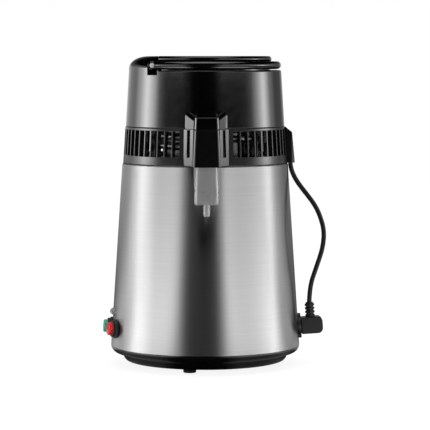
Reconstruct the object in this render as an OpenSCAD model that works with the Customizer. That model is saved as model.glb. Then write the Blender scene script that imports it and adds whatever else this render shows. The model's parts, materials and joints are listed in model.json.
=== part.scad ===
// Countertop water distiller: a steel boiler with a lift-off cooling head.
// Millimetres, +Z up, origin on the axis at the worktop. The spout faces -Y.

/* [Base] */
// Height of the rubber feet below the tray
foot_h = 5; // [3:0.5:8]
// Radius of a rubber foot
foot_r = 7.5; // [6:0.5:10]
// Distance of the feet's centres from the edge of the tray's flat underside
foot_inset = 12; // [11:0.5:20]
// Number of feet
foot_count = 3; // [3:1:4]
// Direction of the first foot, counted from the right-hand side
foot_turn = 256; // [250:1:262]
// Height of the bottom tray
tray_h = 10; // [8:0.5:16]
// How far the tray's side curves in towards its underside
tray_round = 7; // [4:0.5:10]
// Step between the lip's underside and the tray
tray_step = 6; // [4:0.5:9]
// Wall of the tray and of the base ring
tray_wall = 2.5; // [2:0.1:3.5]
// Height of the rounded lip under the casing
lip_h = 8.5; // [7:0.5:14]
// How far the lip curves in under the casing
lip_round = 8; // [5:0.5:10]
// Width of the base ring's flat flange, inside the tray's rim
base_flange_w = 18; // [16:0.5:24]
// Height of the ring that locates the casing from inside
locating_h = 6; // [4:0.5:10]

/* [Casing] */
// Outer radius of the casing at its bottom edge
casing_bottom_r = 112; // [108:1:118]
// Outer radius of the casing at its rim
casing_top_r = 98; // [95:1:103]
// Height of the casing
casing_h = 214.5; // [190:0.5:240]
// Thickness of the steel sheet
casing_wall = 1; // [0.8:0.1:1.5]

/* [Boiling chamber] */
// Depth of the chamber below its rim
chamber_depth = 180; // [150:1:182]
// Width of the chamber's flat rim
rim_w = 10; // [8:0.5:14]
// Thickness of the chamber's sheet
chamber_wall = 1; // [0.8:0.1:1.5]
// Inner radius between the chamber's wall and floor
chamber_corner_r = 10; // [4:1:20]
// Radius of the aluminium plate under the floor
spreader_r = 70; // [60:1:76]
// Thickness of the aluminium plate
spreader_t = 4; // [3:0.5:6]
// Radius of the heating element's loop
element_loop_r = 56; // [40:1:60]
// Radius of the heating element's sheath
element_r = 4.25; // [3:0.25:5]
// Radius of each thermal switch
thermostat_r = 8; // [6:0.5:10]
// Height of each thermal switch
thermostat_h = 11; // [8:0.5:14]
// Distance between the two thermal switches' centres
thermostat_gap = 34; // [24:1:44]

/* [Head] */
// Gap between the casing's rim and the vent ring
seam_gap = 1.5; // [1.2:0.1:3]
// Thickness of the silicone lid seal
gasket_t = 1.3; // [1:0.1:2.5]
// Thickness of the steel lid plate
lid_t = 1.2; // [0.8:0.1:2]
// Height of the vent ring
ring_h = 42.5; // [38:0.5:56]
// How far the vent ring stands inside the casing's rim
ring_step = 1; // [0:0.25:3]
// How much narrower the vent ring is at its top
ring_taper = 2.5; // [0:0.25:5]
// Wall of the vent ring
ring_wall = 2.5; // [2:0.1:3.5]
// Radial depth of the fins between the vent slots
fin_depth = 6; // [4:0.5:9]
// Thickness of a fin
fin_t = 2.4; // [1.5:0.1:4]
// Number of vent slots all round, before the hood and the cord cover take theirs
slot_count = 60; // [36:1:64]
// Height of the plain band below the slots
slot_sill = 10; // [6:0.5:12]
// Height of the plain band above the slots
slot_head = 3; // [2:0.5:6]
// Step between the vent ring and the dome
dome_step = 0.7; // [0:0.1:2]
// Height of the dome from the vent ring to its deck
dome_h = 66.6; // [62:0.2:84]
// How much narrower the dome is at its deck
dome_taper = 3.8; // [2:0.1:6]
// Wall of the dome
dome_wall = 2.5; // [2:0.1:3.5]
// Rounding of the dome's upper edge
dome_edge_r = 2; // [1:0.25:3]
// Height of the hump that carries the handle, above the deck
hump_h = 16.4; // [15:0.2:22]
// Distance of the hump's inner face from the axis
hump_x = 55; // [54:0.5:58]
// Width of the hump's rounded shoulder
hump_round_w = 19; // [12:0.5:22]
// Height of the hump's rounded shoulder
hump_round_h = 14; // [10:0.5:15]

/* [Handle] */
// Radius of the handle's rod
handle_r = 4.65; // [3.5:0.05:5]
// Distance of the rod's centre line inside the dome's edge
handle_inset = 5; // [4:0.25:7]
// Gap between the folded handle and the deck
handle_deck_gap = 1; // [0.5:0.1:2]
// Gap between the folded handle and the fan guard
handle_guard_gap = 1.85; // [1:0.05:4]
// Distance of the pivot behind the hump's inner face
pivot_inset = 7; // [6.5:0.25:9]
// Radius of the handle's eye
eye_r = 5; // [4.7:0.1:5.5]
// Length of the handle's eye along its pivot
eye_l = 12; // [9:0.5:12.5]
// Gap round the eye in its notch
notch_gap = 0.75; // [0.5:0.05:1]
// Depth of the notch below the eye
notch_drop = 6.3; // [2:0.1:8]
// Radius of the pivot screw's shank
pivot_r = 2; // [1.5:0.1:2.5]
// Running clearance of the pivot and of the fan's shaft
running_gap = 0.05; // [0.03:0.01:0.08]

/* [Fan] */
// Radius of the air opening in the deck
fan_opening_r = 53; // [44:0.5:53.5]
// Gap between the blade tips and the opening's radius
blade_tip_gap = 3; // [2:0.25:6]
// Height of the rotor
rotor_h = 15; // [10:0.5:18]
// Radius of the rotor's hub
rotor_hub_r = 14; // [10:0.5:18]
// Number of blades
blade_count = 7; // [3:1:9]
// Pitch of the blades
blade_pitch = 32; // [20:1:36]
// Thickness of a blade
blade_t = 2; // [1.5:0.1:3]
// Radius of the motor's housing
motor_r = 24; // [20:0.5:28]
// Height of the motor's housing
motor_h = 26; // [20:0.5:30]
// Radius of the motor's shaft
shaft_r = 2.5; // [2:0.1:3]
// Thickness of the motor's bracket
bracket_t = 2; // [1.5:0.1:3]
// Height of the fan guard's rim
guard_h = 7; // [5:0.5:9]
// How far the guard's rim stands out past the boss that carries it
guard_overhang = 2; // [1:0.25:3]
// Distance between the guard's rings
guard_pitch = 6.5; // [5:0.25:9]
// Width of the guard's rings and spokes
guard_bar = 2.2; // [1.5:0.1:3]

/* [Condenser coil] */
// Radius of the coil's loops
coil_r = 58; // [50:0.5:64]
// Outer radius of the coil's tube
coil_tube_r = 4.25; // [3:0.25:4.5]
// Wall of the coil's tube
coil_wall = 0.8; // [0.5:0.1:1.2]
// Distance between one loop and the next
coil_pitch = 11; // [9.5:0.25:12]
// Whole and part loops
coil_loops = 2.5; // [1.5:0.5:2.5]
// Bend radius at the coil's ends, in plan
coil_bend_r = 16; // [12:0.5:20]
// Bend radius of the riser and of the outlet
coil_drop_r = 10; // [9:0.5:12]
// Gap between the coil's top and the motor
coil_motor_gap = 6; // [4:0.5:10]
// Gap between the coil and the air guide inside it
guide_gap = 3.5; // [2:0.25:6]
// Wall of the air guide
guide_wall = 1.6; // [1:0.1:3]

/* [Spout] */
// Width of the hood where it leaves the vent ring
hood_root_w = 55; // [52:0.5:58]
// Width of the hood where it meets its nose
hood_neck_w = 30.4; // [30:0.2:34]
// How far the hood's flanks reach out from the vent ring
hood_neck_reach = 5.5; // [5:0.5:9]
// How far the hood's nose reaches out from the vent ring
hood_reach = 29; // [27:0.5:34]
// Width of the nose at its bottom
nose_bottom_w = 31.8; // [31:0.2:36]
// Width of the nose at its top
nose_top_w = 26.4; // [24:0.2:30]
// Height of the hood above the vent ring, at the dome
hood_back_h = 19.5; // [16:0.5:26]
// Height of the hood above the vent ring, at its nose
hood_front_h = 15; // [12:0.5:16]
// Wall of the hood
hood_wall = 1.3; // [1:0.1:1.5]
// Width of the cup
cup_w = 29.4; // [28:0.2:30]
// Depth of the cup, front to back
cup_d = 19.6; // [18:0.2:19.8]
// How much narrower the cup is at its bottom
cup_taper = 1.4; // [0:0.2:3]
// Height of the cup below the hood
cup_h = 42.5; // [36:0.5:46]
// Height of the cup's collar inside the hood
collar_h = 12; // [8:0.5:14]
// Wall of the cup
cup_wall = 1.6; // [1.2:0.1:2]
// Corner radius of the cup
cup_corner_r = 3.5; // [2.5:0.25:5]
// Radius of the drip tip
tip_r = 3.7; // [3:0.1:5]
// Length of the drip tip
tip_l = 13; // [8:0.5:16]
// Bore radius of the drip tip
tip_bore_r = 2.3; // [1.5:0.1:2.5]
// Gap between the cup and the casing
cup_casing_gap = 1.8; // [1.6:0.1:3]
// Height of the charcoal filter pod
filter_h = 28; // [20:0.5:32]

/* [Controls] */
// Height of the two buttons above the worktop
button_z = 45.5; // [44:0.5:47]
// Direction of the red button
red_turn = 198; // [197:0.5:206]
// Direction of the green button
green_turn = 183.5; // [178:0.5:186]
// Radius of a button's bezel
bezel_r = 11; // [10.5:0.25:12.5]
// Height of a button's bezel above the casing
bezel_h = 6; // [5:0.5:8]
// Radius of a button's cap
button_r = 7.5; // [6.5:0.25:7.75]
// How far a cap stands out of its bezel
button_proud = 4.5; // [4:0.25:6]
// Travel of a button
button_travel = 3; // [2:0.25:3.25]
// Height of the pilot lamp above the worktop
lamp_z = 64.6; // [63:0.2:70]
// Direction of the pilot lamp
lamp_turn = 190; // [187:0.5:194]
// Radius of the pilot lamp's lens
lamp_r = 4; // [3:0.25:5]

/* [Power] */
// Height of the fan socket above the worktop
socket_z = 44.7; // [43:0.1:48]
// Height of the fan socket's flange
socket_flange_h = 29.5; // [28:0.5:32]
// Width of the fan socket's flange
socket_flange_w = 22; // [20:0.5:24]
// Thickness of the fan socket's flange
socket_flange_t = 3.5; // [2.5:0.25:5]
// Length of the plug's body, away from the casing
plug_l = 25.5; // [22:0.5:30]
// Height of the plug's body
plug_h = 20; // [18:0.5:21]
// Width of the plug's body
plug_w = 17; // [15:0.5:19]
// Distance of the plug's boot from the casing
boot_reach = 15.2; // [14.8:0.1:15.6]
// Length of the plug's boot
boot_l = 17; // [16:0.25:17.5]
// Radius of the fan cord
cord_r = 2.8; // [2.5:0.1:3]
// Height of the mains inlet above the worktop
inlet_z = 50; // [49:0.5:54]
// Height of the mains inlet's flange
inlet_flange_h = 50; // [48:0.5:52]
// Width of the mains inlet's flange
inlet_flange_w = 24; // [23:0.5:26]
// Thickness of the mains inlet's flange
inlet_flange_t = 3; // [2.5:0.25:4]
// Depth of the mains inlet's recess
inlet_depth = 16; // [15:0.5:18]
// Width of the cord cover
cover_w = 26; // [22:0.5:30]
// How far the cord cover stands out at its top
cover_top_reach = 7.9; // [6:0.1:9]
// How far the cord cover stands out at its bottom
cover_bottom_reach = 8.8; // [8.2:0.1:10]

/* [Hidden] */
$fn = 64;
hull_fn = 32;
cut = 1;
big = 300;
fit = 0.1;
slide_gap = 0.3;
screw_r = 1.75;
screw_head_r = 3.2;
screw_head_h = 2;
fan_post_count = 3;
head_screw_count = 4;
screw_bite = 6;
boss_r = 4.5;
tray_boss_r = 5.5;
foot_edge = 1;
web_t = 3;
web_lap = 0.5;
head_boss_h = 18;
head_screw_inset = 6;

// Heights, from the worktop up
tray_z = foot_h;
lip_z = tray_z + tray_h;
casing_z = lip_z + lip_h;
rim_z = casing_z + casing_h;
flange_top_z = rim_z + chamber_wall;
lid_z = flange_top_z + gasket_t;
lid_top_z = lid_z + lid_t;
ring_z = rim_z + seam_gap;
seam_z = ring_z + ring_h;
deck_z = seam_z + dome_h;
top_z = deck_z + hump_h;
guard_z = top_z - guard_h;
floor_z = flange_top_z - chamber_depth;
spreader_z = floor_z - chamber_wall - spreader_t;
slot_z = ring_z + slot_sill;
slot_h = ring_h - slot_sill - slot_head;
fin_foot_z = slot_z - 1;

// Radii, from the casing in
lip_under_r = casing_bottom_r - lip_round;
tray_top_r = lip_under_r - tray_step;
tray_bottom_r = tray_top_r - tray_round;
foot_circle_r = tray_bottom_r - foot_inset;
base_flange_r = tray_top_r - base_flange_w;
base_screw_r = base_flange_r + base_flange_w / 3;
chamber_r = casing_top_r - rim_w;
ring_bottom_r = casing_top_r - ring_step;
ring_top_r = ring_bottom_r - ring_taper;
dome_bottom_r = ring_top_r - dome_step;
dome_top_r = dome_bottom_r - dome_taper;
handle_path_r = dome_top_r - handle_inset;
guard_r = handle_path_r - handle_r - handle_guard_gap;
guard_seat_r = guard_r - guard_overhang;
head_screw_circle_r = chamber_r - head_screw_inset;
lid_r = ring_bottom_r - ring_wall - slide_gap;
cone_angle = atan2(casing_bottom_r - casing_top_r, casing_h);

// Handle's pivot
pivot_x = hump_x + pivot_inset;
pivot_y = sqrt(pow(handle_path_r, 2) - pow(pivot_x, 2));
pivot_z = deck_z + handle_deck_gap + handle_r;
handle_arc = 180 - acos(pivot_x / handle_path_r);
eye_recess = 2.5;
notch_y = pivot_y - eye_l / 2 - slide_gap;
notch_x_half = eye_r + notch_gap;
notch_z = pivot_z - eye_r - notch_drop;

// Fan, hung below the deck
rotor_r = fan_opening_r - blade_tip_gap;
rotor_z = deck_z - dome_wall - blade_tip_gap - rotor_h;
bracket_z = rotor_z - blade_tip_gap - bracket_t;
motor_z = bracket_z - motor_h;
fan_post_circle_r = rotor_r + blade_tip_gap + boss_r + fit;
bearing_wall = 2.5;
bearing_r = shaft_r + bearing_wall;
bearing_h = 6;
shaft_end_gap = 1;
hub_cap_t = 3;
shaft_z = motor_z + shaft_end_gap;
shaft_top_z = rotor_z + rotor_h - hub_cap_t;
press_gap = 0.02;
motor_screw_inset = 8;
guard_plate_t = 3;
guard_spoke_count = 8;

// Spout, out along -Y
hood_neck_y = ring_bottom_r + hood_neck_reach;
hood_front_y = ring_bottom_r + hood_reach;
hood_root_y = ring_bottom_r - fin_depth - ring_wall;
nose_back_y = ring_bottom_r + ring_wall;
nose_z = seam_z + hood_front_h;
hood_top_z = seam_z + hood_back_h;
cup_back_y = casing_top_r + cup_h * tan(cone_angle) + cup_casing_gap;
spout_y = cup_back_y + cup_d / 2;
shoulder_z = ring_z - slide_gap;
cup_z = shoulder_z - cup_h;
collar_top_z = shoulder_z + collar_h;
collar_w = nose_bottom_w - 2 * hood_wall - (nose_bottom_w - nose_top_w) * collar_h / ring_h - 4 * slide_gap;
collar_d = cup_d - 4 * slide_gap;
slab_t = 0.01;
cup_edge = 1.5;
filter_side_gap = 1.25;
filter_seat_gap = 0.2;

// Coil's ends, worked out so that the outlet leaves straight along -Y above the cup
coil_top_z = motor_z - coil_motor_gap - coil_tube_r;
coil_bottom_z = coil_top_z - coil_pitch * coil_loops;
coil_end = 180 + acos(coil_bend_r / (coil_r + coil_bend_r));
coil_start = coil_end - 360 * coil_loops;
inlet_lead = coil_start - asin(coil_bend_r / (coil_r - coil_bend_r));
outlet_drop = 2;
outlet_tip_z = collar_top_z - outlet_drop;
coil_sides = 6;
guide_r = coil_r - coil_tube_r - guide_gap;
guide_h = coil_top_z - coil_tube_r - guide_gap - lid_top_z;
seal_h = 4;
seal_w = 5;

// Controls, in from the casing's face
barrel_wall = 1.5;
cap_step = 2.5;
barrel_r = button_r + barrel_wall;
stem_r = button_r - cap_step;
switch_depth = 20;
cap_gap = 0.5;
switch_cavity_r = button_r - cap_gap;
guide_l = 4.5;
stem_tail = 4;
snap_h = 1.5;
snap_w = 1;
nut_w = 3;
nut_h = 4;
bezel_step = 1.5;
cap_edge = 1.5;
cap_crown = 0.4;
spring_inset = 1.5;
guide_top = -button_travel - cap_gap;
guide_bottom = guide_top - guide_l;
stem_end = guide_bottom - stem_tail;
switch_floor = stem_end - 2 * button_travel;
spring_wire_r = 0.35;
spring_turns = 4;
spring_sides = 6;
spring_curl_rings = 8;
spring_r = stem_r - spring_inset;

// Pilot lamp, in from the casing's face
lamp_wall = 1;
lamp_flange_t = 1.2;
lamp_body_l = 10;
lamp_bore_l = 8;
lamp_stem_l = 6;

// Mains inlet's recess, a standard size
inlet_recess_h = 24.6;
inlet_recess_w = 16.6;
inlet_body_wall = 1.7;
inlet_screw_pitch = 40;
inlet_pin = [4, 2];
inlet_pin_tip = -3;
inlet_tail = 4;
inlet_pin_places = [[-7, 2], [7, 2], [0, -2]];
socket_body_r = 8.5;
socket_body_l = 16;
socket_ear_r = 4.5;
cover_top_drop = 6.5;
cover_wall = 1.6;
cord_exit_reach = 4;
cord_exit_x = ring_bottom_r + cord_exit_reach;
bush_wall = 0.7;
bush_h = 3;

// Fan cord's route, from inside the cord cover to inside the plug's boot
cord_route = [
    [101, 0, 243], [101, 0, 240], [101.7, 0, 234], [104.2, 0, 226], [109, 0, 217],
    [115.5, 0, 208], [122.5, 0, 199], [129, 0, 190], [134, 0, 181], [137.5, 0, 172],
    [140, 0, 163], [141, 0, 154], [140.5, 0, 145], [139, 0, 136], [136.5, 0, 127],
    [133.5, 0, 118], [130.5, 0, 109], [127.5, 0, 100], [125.5, 0, 91], [124.5, 0, 82],
    [124, 0, 73], [124.4, 0, 67]
];
cord_sides = 10;

// Radius of a tapered wall at a height
function casing_r(z) = casing_bottom_r - (z - casing_z) * tan(cone_angle);
function ring_r(z) = ring_bottom_r - ring_taper * (z - ring_z) / ring_h;
function dome_r(z) = dome_bottom_r - dome_taper * (z - seam_z) / dome_h;

// Quarter of an ellipse about a centre, from one angle to another
function arc_points(c, rx, ry, a0, a1, n) =
    [for (i = [0:n]) let (a = a0 + (a1 - a0) * i / n) [c.x + rx * cos(a), c.y + ry * sin(a)]];

// Direction of a path at one of its points
function unit(v) = v / norm(v);
function heading(path, i) =
    unit(path[min(i + 1, len(path) - 1)] - path[max(i - 1, 0)]);
function side_of(h, hint) = unit(cross(h, hint));

// One ring of points square to a path
function ring_at(p, h, hint, r, n) =
    let (u = side_of(h, hint), v = cross(h, u))
    [for (k = [0:n - 1]) p + r * (cos(360 * k / n) * u + sin(360 * k / n) * v)];

// Triangles of the wall between rings that follow each other, for n points a ring
function wall_faces(rings, n, first) = [
    for (i = [0:rings - 2])
        for (k = [0:n - 1])
            let (
                a = first + i * n + k,
                b = first + i * n + (k + 1) % n
            )
            each [[a, a + n, b], [b, a + n, b + n]]
];

// Solid tube along a path
module tube(path, r, n, hint) {
    count = len(path);
    points = [for (i = [0:count - 1]) each ring_at(path[i], heading(path, i), hint[i], r, n)];
    start_cap = [for (k = [1:n - 2]) [0, k, k + 1]];
    last = (count - 1) * n;
    end_cap = [for (k = [1:n - 2]) [last, last + k + 1, last + k]];
    polyhedron(points, concat(wall_faces(count, n, 0), start_cap, end_cap));
}

// Hollow tube along a path, open at both ends
module pipe(path, r, wall, n, hint) {
    count = len(path);
    outer = [for (i = [0:count - 1]) each ring_at(path[i], heading(path, i), hint[i], r, n)];
    inner = [for (i = [0:count - 1]) each ring_at(path[i], heading(path, i), hint[i], r - wall, n)];
    first = count * n;
    last = (count - 1) * n;
    inside = [for (f = wall_faces(count, n, first)) [f[0], f[2], f[1]]];
    start_rim = [
        for (k = [0:n - 1])
            let (m = (k + 1) % n)
            each [[k, m, first + k], [m, first + m, first + k]]
    ];
    end_rim = [
        for (k = [0:n - 1])
            let (m = (k + 1) % n)
            each [[last + k, first + last + k, last + m],
                  [last + m, first + last + k, first + last + m]]
    ];
    polyhedron(concat(outer, inner), concat(wall_faces(count, n, 0), inside, start_rim, end_rim));
}

// Puts a fitting on the casing's face: local +Z points straight out, local +X down the casing
module on_casing(turn, z) {
    rotate([0, 0, turn])
        translate([casing_r(z), 0, z])
            rotate([0, 90 - cone_angle, 0])
                children();
}

// Copies round the axis
module around(count, r, turn = 0) {
    for (i = [0:count - 1])
        rotate([0, 0, turn + 360 * i / count])
            translate([r, 0, 0])
                children();
}

// Rectangle with round corners, about its centre
module round_rect(w, d, r) {
    square([w - 2 * r, d], center = true);
    square([w, d - 2 * r], center = true);
    for (x = [-1, 1], y = [-1, 1])
        translate([x * (w / 2 - r), y * (d / 2 - r)])
            circle(r);
}

// Screw along +Z, its head below z = 0
module screw(length, r = screw_r, head_r = screw_head_r, head_h = screw_head_h) {
    translate([0, 0, -head_h])
        cylinder(h = head_h, r = head_r);
    cylinder(h = length, r = r);
}

// Half space to the left of a plane, or to its right
module left_of(x) {
    translate([-big - x, -big / 2, 0])
        cube([big, big, 2 * big]);
}

module right_of(x) {
    translate([-x, -big / 2, 0])
        cube([big, big, 2 * big]);
}

// Outer casing: a tapered steel sleeve with the holes for its fittings
module outer_casing() {
    color("silver")
        difference() {
            rotate_extrude()
                polygon([
                    [casing_bottom_r - casing_wall, casing_z],
                    [casing_bottom_r, casing_z],
                    [casing_top_r, rim_z],
                    [casing_top_r - casing_wall, rim_z]
                ]);
            for (turn = [red_turn, green_turn])
                on_casing(turn, button_z)
                    casing_hole(barrel_r + fit);
            on_casing(lamp_turn, lamp_z)
                casing_hole(lamp_r + fit);
            on_casing(0, socket_z)
                casing_hole(socket_body_r + fit);
            on_casing(90, inlet_z)
                translate([0, 0, -4 * casing_wall])
                    linear_extrude(8 * casing_wall)
                        square([inlet_recess_h + 2 * inlet_body_wall + 2 * fit,
                                inlet_recess_w + 2 * inlet_body_wall + 2 * fit], center = true);
            on_casing(0, socket_z)
                at_socket_screws()
                    casing_hole(screw_r + fit);
            on_casing(90, inlet_z)
                at_inlet_screws()
                    casing_hole(screw_r + fit);
        }
}

module casing_hole(r) {
    translate([0, 0, -4 * casing_wall])
        cylinder(h = 8 * casing_wall, r = r);
}

module at_socket_screws() {
    for (s = [-1, 1])
        translate([s * (socket_flange_h / 2 - socket_ear_r), 0, 0])
            children();
}

module at_inlet_screws() {
    for (s = [-1, 1])
        translate([s * inlet_screw_pitch / 2, 0, 0])
            children();
}

// Boiling chamber: a deep drawn pan whose rim rests on the casing
module boiling_chamber() {
    outer_r = chamber_r + chamber_wall;
    corner_out = chamber_corner_r + chamber_wall;
    corner = [chamber_r - chamber_corner_r, floor_z + chamber_corner_r];
    color("gainsboro")
        rotate_extrude()
            polygon(concat(
                [[0, floor_z - chamber_wall]],
                arc_points(corner, corner_out, corner_out, -90, 0, 8),
                [
                    [outer_r, rim_z],
                    [casing_top_r - casing_wall / 2, rim_z],
                    [casing_top_r - casing_wall / 2, flange_top_z],
                    [chamber_r, flange_top_z]
                ],
                arc_points(corner, chamber_corner_r, chamber_corner_r, 0, -90, 8),
                [[0, floor_z]]
            ));
}

// Base ring: the rounded black lip, with a flange inside and a ring that locates the casing
module base_ring() {
    locate_r = casing_r(casing_z + locating_h) - casing_wall - fit;
    color("black")
        difference() {
            rotate_extrude()
                polygon(concat(
                    [[base_flange_r, lip_z]],
                    arc_points([lip_under_r, casing_z], lip_round, lip_h, -90, 0, 8),
                    [
                        [locate_r, casing_z],
                        [locate_r, casing_z + locating_h],
                        [locate_r - tray_wall, casing_z + locating_h],
                        [locate_r - tray_wall, lip_z + tray_wall],
                        [base_flange_r, lip_z + tray_wall]
                    ]
                ));
            at_base_screws()
                translate([0, 0, lip_z - cut])
                    cylinder(h = tray_wall + 2 * cut, r = screw_r + fit);
            on_casing(90, inlet_z)
                at_inlet_screws()
                    translate([0, 0, -2 * screw_bite])
                        cylinder(h = 2 * screw_bite, r = screw_r + fit);
        }
}

module at_base_screws() {
    around(foot_count, base_screw_r, foot_turn + 180 / foot_count)
        children();
}

module at_feet() {
    around(foot_count, foot_circle_r, foot_turn)
        children();
}

// Base tray: the shallow pan under the works, with bosses for its screws
module base_tray() {
    color("black")
        difference() {
            union() {
                rotate_extrude()
                    polygon(concat(
                        [[0, tray_z]],
                        arc_points([tray_bottom_r, lip_z], tray_round, tray_h, -90, 0, 6),
                        [
                            [tray_top_r - tray_wall, lip_z],
                            [tray_bottom_r - tray_wall, tray_z + tray_wall],
                            [0, tray_z + tray_wall]
                        ]
                    ));
                at_base_screws()
                    translate([0, 0, tray_z])
                        cylinder(h = tray_h, r = tray_boss_r);
                at_feet()
                    translate([0, 0, tray_z])
                        cylinder(h = tray_h - tray_wall, r = boss_r);
            }
            at_base_screws() {
                translate([0, 0, tray_z - cut])
                    cylinder(h = tray_h + 2 * cut, r = screw_r + fit);
                translate([0, 0, tray_z - cut])
                    cylinder(h = screw_head_h + 2 * cut, r = screw_head_r + fit);
            }
            at_feet()
                translate([0, 0, tray_z - cut])
                    cylinder(h = tray_h + cut, r = screw_r + fit);
        }
}

// Rubber feet, each with a recess for its screw
module rubber_feet() {
    color("dimgray")
        at_feet()
            difference() {
                rotate_extrude()
                    polygon([
                        [0, 0], [foot_r - foot_edge, 0], [foot_r, foot_edge],
                        [foot_r, foot_h], [0, foot_h]
                    ]);
                translate([0, 0, -cut])
                    cylinder(h = foot_h + 2 * cut, r = screw_r + fit);
                translate([0, 0, -cut])
                    cylinder(h = cut + foot_h / 2, r = screw_head_r + fit);
            }
}

module foot_screws() {
    color("lightgray")
        at_feet()
            translate([0, 0, foot_h / 2])
                screw(foot_h / 2 + tray_h - tray_wall - cut);
}

module base_screws() {
    color("lightgray")
        at_base_screws()
            translate([0, 0, tray_z + screw_head_h + cut])
                screw(tray_h + tray_wall);
}

// Heat spreader: the aluminium plate bonded under the chamber's floor
module heat_spreader() {
    color("lightgray")
        translate([0, 0, spreader_z])
            cylinder(h = spreader_t, r = spreader_r);
}

// Heating element: a sheathed loop under the spreader, with an upright seal at each of its ends
module heating_element() {
    gap_angle = 30;
    end_z = spreader_z - fit - element_r;
    tail_l = 12;
    seal_lip = 0.6;
    color("gray") {
        translate([0, 0, end_z])
            rotate([0, 0, 90 + gap_angle / 2])
                rotate_extrude(angle = 360 - gap_angle)
                    translate([element_loop_r, 0])
                        circle(element_r);
        for (s = [-1, 1])
            rotate([0, 0, 90 + s * gap_angle / 2])
                translate([element_loop_r, 0, end_z - tail_l])
                    cylinder(h = tail_l + element_r - fit, r = element_r + seal_lip);
    }
}

// Disc thermal switch under the spreader, with its two tabs
module thermal_switch(side) {
    tab = [0.8, 6.3, 8];
    lip = 2;
    translate([0, side * thermostat_gap / 2, spreader_z]) {
        translate([0, 0, -thermostat_h])
            cylinder(h = thermostat_h, r = thermostat_r);
        translate([0, 0, -lip])
            cylinder(h = lip, r = thermostat_r + lip);
        for (s = [-1, 1])
            translate([s * thermostat_r / 2 - tab.x / 2, -tab.y / 2, -thermostat_h - tab.z])
                cube(tab);
    }
}

module thermostat() {
    color("tan")
        thermal_switch(-1);
}

module thermal_cutoff() {
    color("white")
        thermal_switch(1);
}

// Mains inlet: an upright flange with a shuttered recess for a standard connector
module power_inlet() {
    body_h = inlet_recess_h + 2 * inlet_body_wall;
    body_w = inlet_recess_w + 2 * inlet_body_wall;
    back = inlet_flange_t - inlet_depth;
    color("black")
        on_casing(90, inlet_z)
            difference() {
                union() {
                    linear_extrude(inlet_flange_t)
                        round_rect(inlet_flange_h, inlet_flange_w, inlet_flange_w / 4);
                    translate([0, 0, back - inlet_body_wall])
                        linear_extrude(inlet_depth + inlet_body_wall)
                            round_rect(body_h, body_w, 2);
                }
                translate([0, 0, back])
                    linear_extrude(inlet_depth + cut)
                        inlet_recess();
                at_inlet_screws()
                    translate([0, 0, -cut])
                        cylinder(h = inlet_flange_t + 2 * cut, r = screw_r + fit);
                for (p = inlet_pin_places)
                    translate([p.x, p.y, back - 2 * inlet_body_wall])
                        linear_extrude(3 * inlet_body_wall)
                            square([inlet_pin.y + fit, inlet_pin.x + fit], center = true);
            }
}

module inlet_recess() {
    chamfer = 4.5;
    h = inlet_recess_h / 2;
    w = inlet_recess_w / 2;
    polygon([[-h, w], [-h, chamfer - w], [chamfer - h, -w], [h - chamfer, -w], [h, chamfer - w], [h, w]]);
}

// Three flat pins, recessed in the inlet, with tails behind it
module inlet_pins() {
    back = inlet_flange_t - inlet_depth - inlet_body_wall - inlet_tail;
    color("goldenrod")
        on_casing(90, inlet_z)
            for (p = inlet_pin_places)
                translate([p.x, p.y, back])
                    linear_extrude(inlet_pin_tip - back)
                        square([inlet_pin.y, inlet_pin.x], center = true);
}

module inlet_screws() {
    color("lightgray")
        on_casing(90, inlet_z)
            at_inlet_screws()
                translate([0, 0, inlet_flange_t])
                    mirror([0, 0, 1])
                        screw(inlet_flange_t + screw_bite);
}

// Fan socket: an oval flange with two ears and a round body behind it
module fan_socket() {
    slot = [2.4, 6, 10];
    color("black")
        on_casing(0, socket_z)
            difference() {
                union() {
                    linear_extrude(socket_flange_t) {
                        circle(socket_flange_w / 2);
                        at_socket_screws()
                            circle(socket_ear_r);
                        square([socket_flange_h - 2 * socket_ear_r, 2 * socket_ear_r], center = true);
                    }
                    translate([0, 0, -socket_body_l])
                        cylinder(h = socket_body_l, r = socket_body_r);
                }
                for (s = [-1, 1])
                    translate([-slot.y / 2, s * socket_body_r / 2 - slot.x / 2, socket_flange_t - slot.z])
                        cube([slot.y, slot.x, slot.z + cut]);
                at_socket_screws()
                    translate([0, 0, -cut])
                        cylinder(h = socket_flange_t + 2 * cut, r = screw_r + fit);
                at_socket_screws()
                    translate([0, 0, socket_flange_t - screw_head_h])
                        cylinder(h = screw_head_h + cut, r = screw_head_r + fit);
            }
}

module socket_screws() {
    color("lightgray")
        on_casing(0, socket_z)
            at_socket_screws()
                translate([0, 0, socket_flange_t - screw_head_h])
                    mirror([0, 0, 1])
                        screw(socket_flange_t + screw_bite);
}

// Push-button housing: a bezel outside the casing and a threaded barrel inside it
module switch_housing(turn) {
    on_casing(turn, button_z)
        difference() {
            union() {
                cylinder(h = bezel_h / 2, r = bezel_r);
                cylinder(h = bezel_h, r = bezel_r - bezel_step);
                translate([0, 0, -switch_depth])
                    cylinder(h = switch_depth, r = barrel_r);
            }
            translate([0, 0, guide_top])
                cylinder(h = bezel_h - guide_top + cut, r = button_r + fit);
            translate([0, 0, guide_bottom - cut])
                cylinder(h = guide_top - guide_bottom + 2 * cut, r = stem_r + running_gap);
            translate([0, 0, switch_floor])
                cylinder(h = guide_bottom - switch_floor, r = switch_cavity_r);
        }
}

module red_switch() {
    color("black")
        switch_housing(red_turn);
}

module green_switch() {
    color("black")
        switch_housing(green_turn);
}

module switch_nuts() {
    nut_r = barrel_r + nut_w;
    nut_z = -casing_wall - slide_gap - pow(nut_r, 2) / 2 / casing_r(button_z);
    color("gray")
        for (turn = [red_turn, green_turn])
            on_casing(turn, button_z)
                translate([0, 0, nut_z - nut_h])
                    difference() {
                        cylinder(h = nut_h, r = nut_r, $fn = 6);
                        translate([0, 0, -cut])
                            cylinder(h = nut_h + 2 * cut, r = barrel_r + fit);
                    }
}

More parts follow.
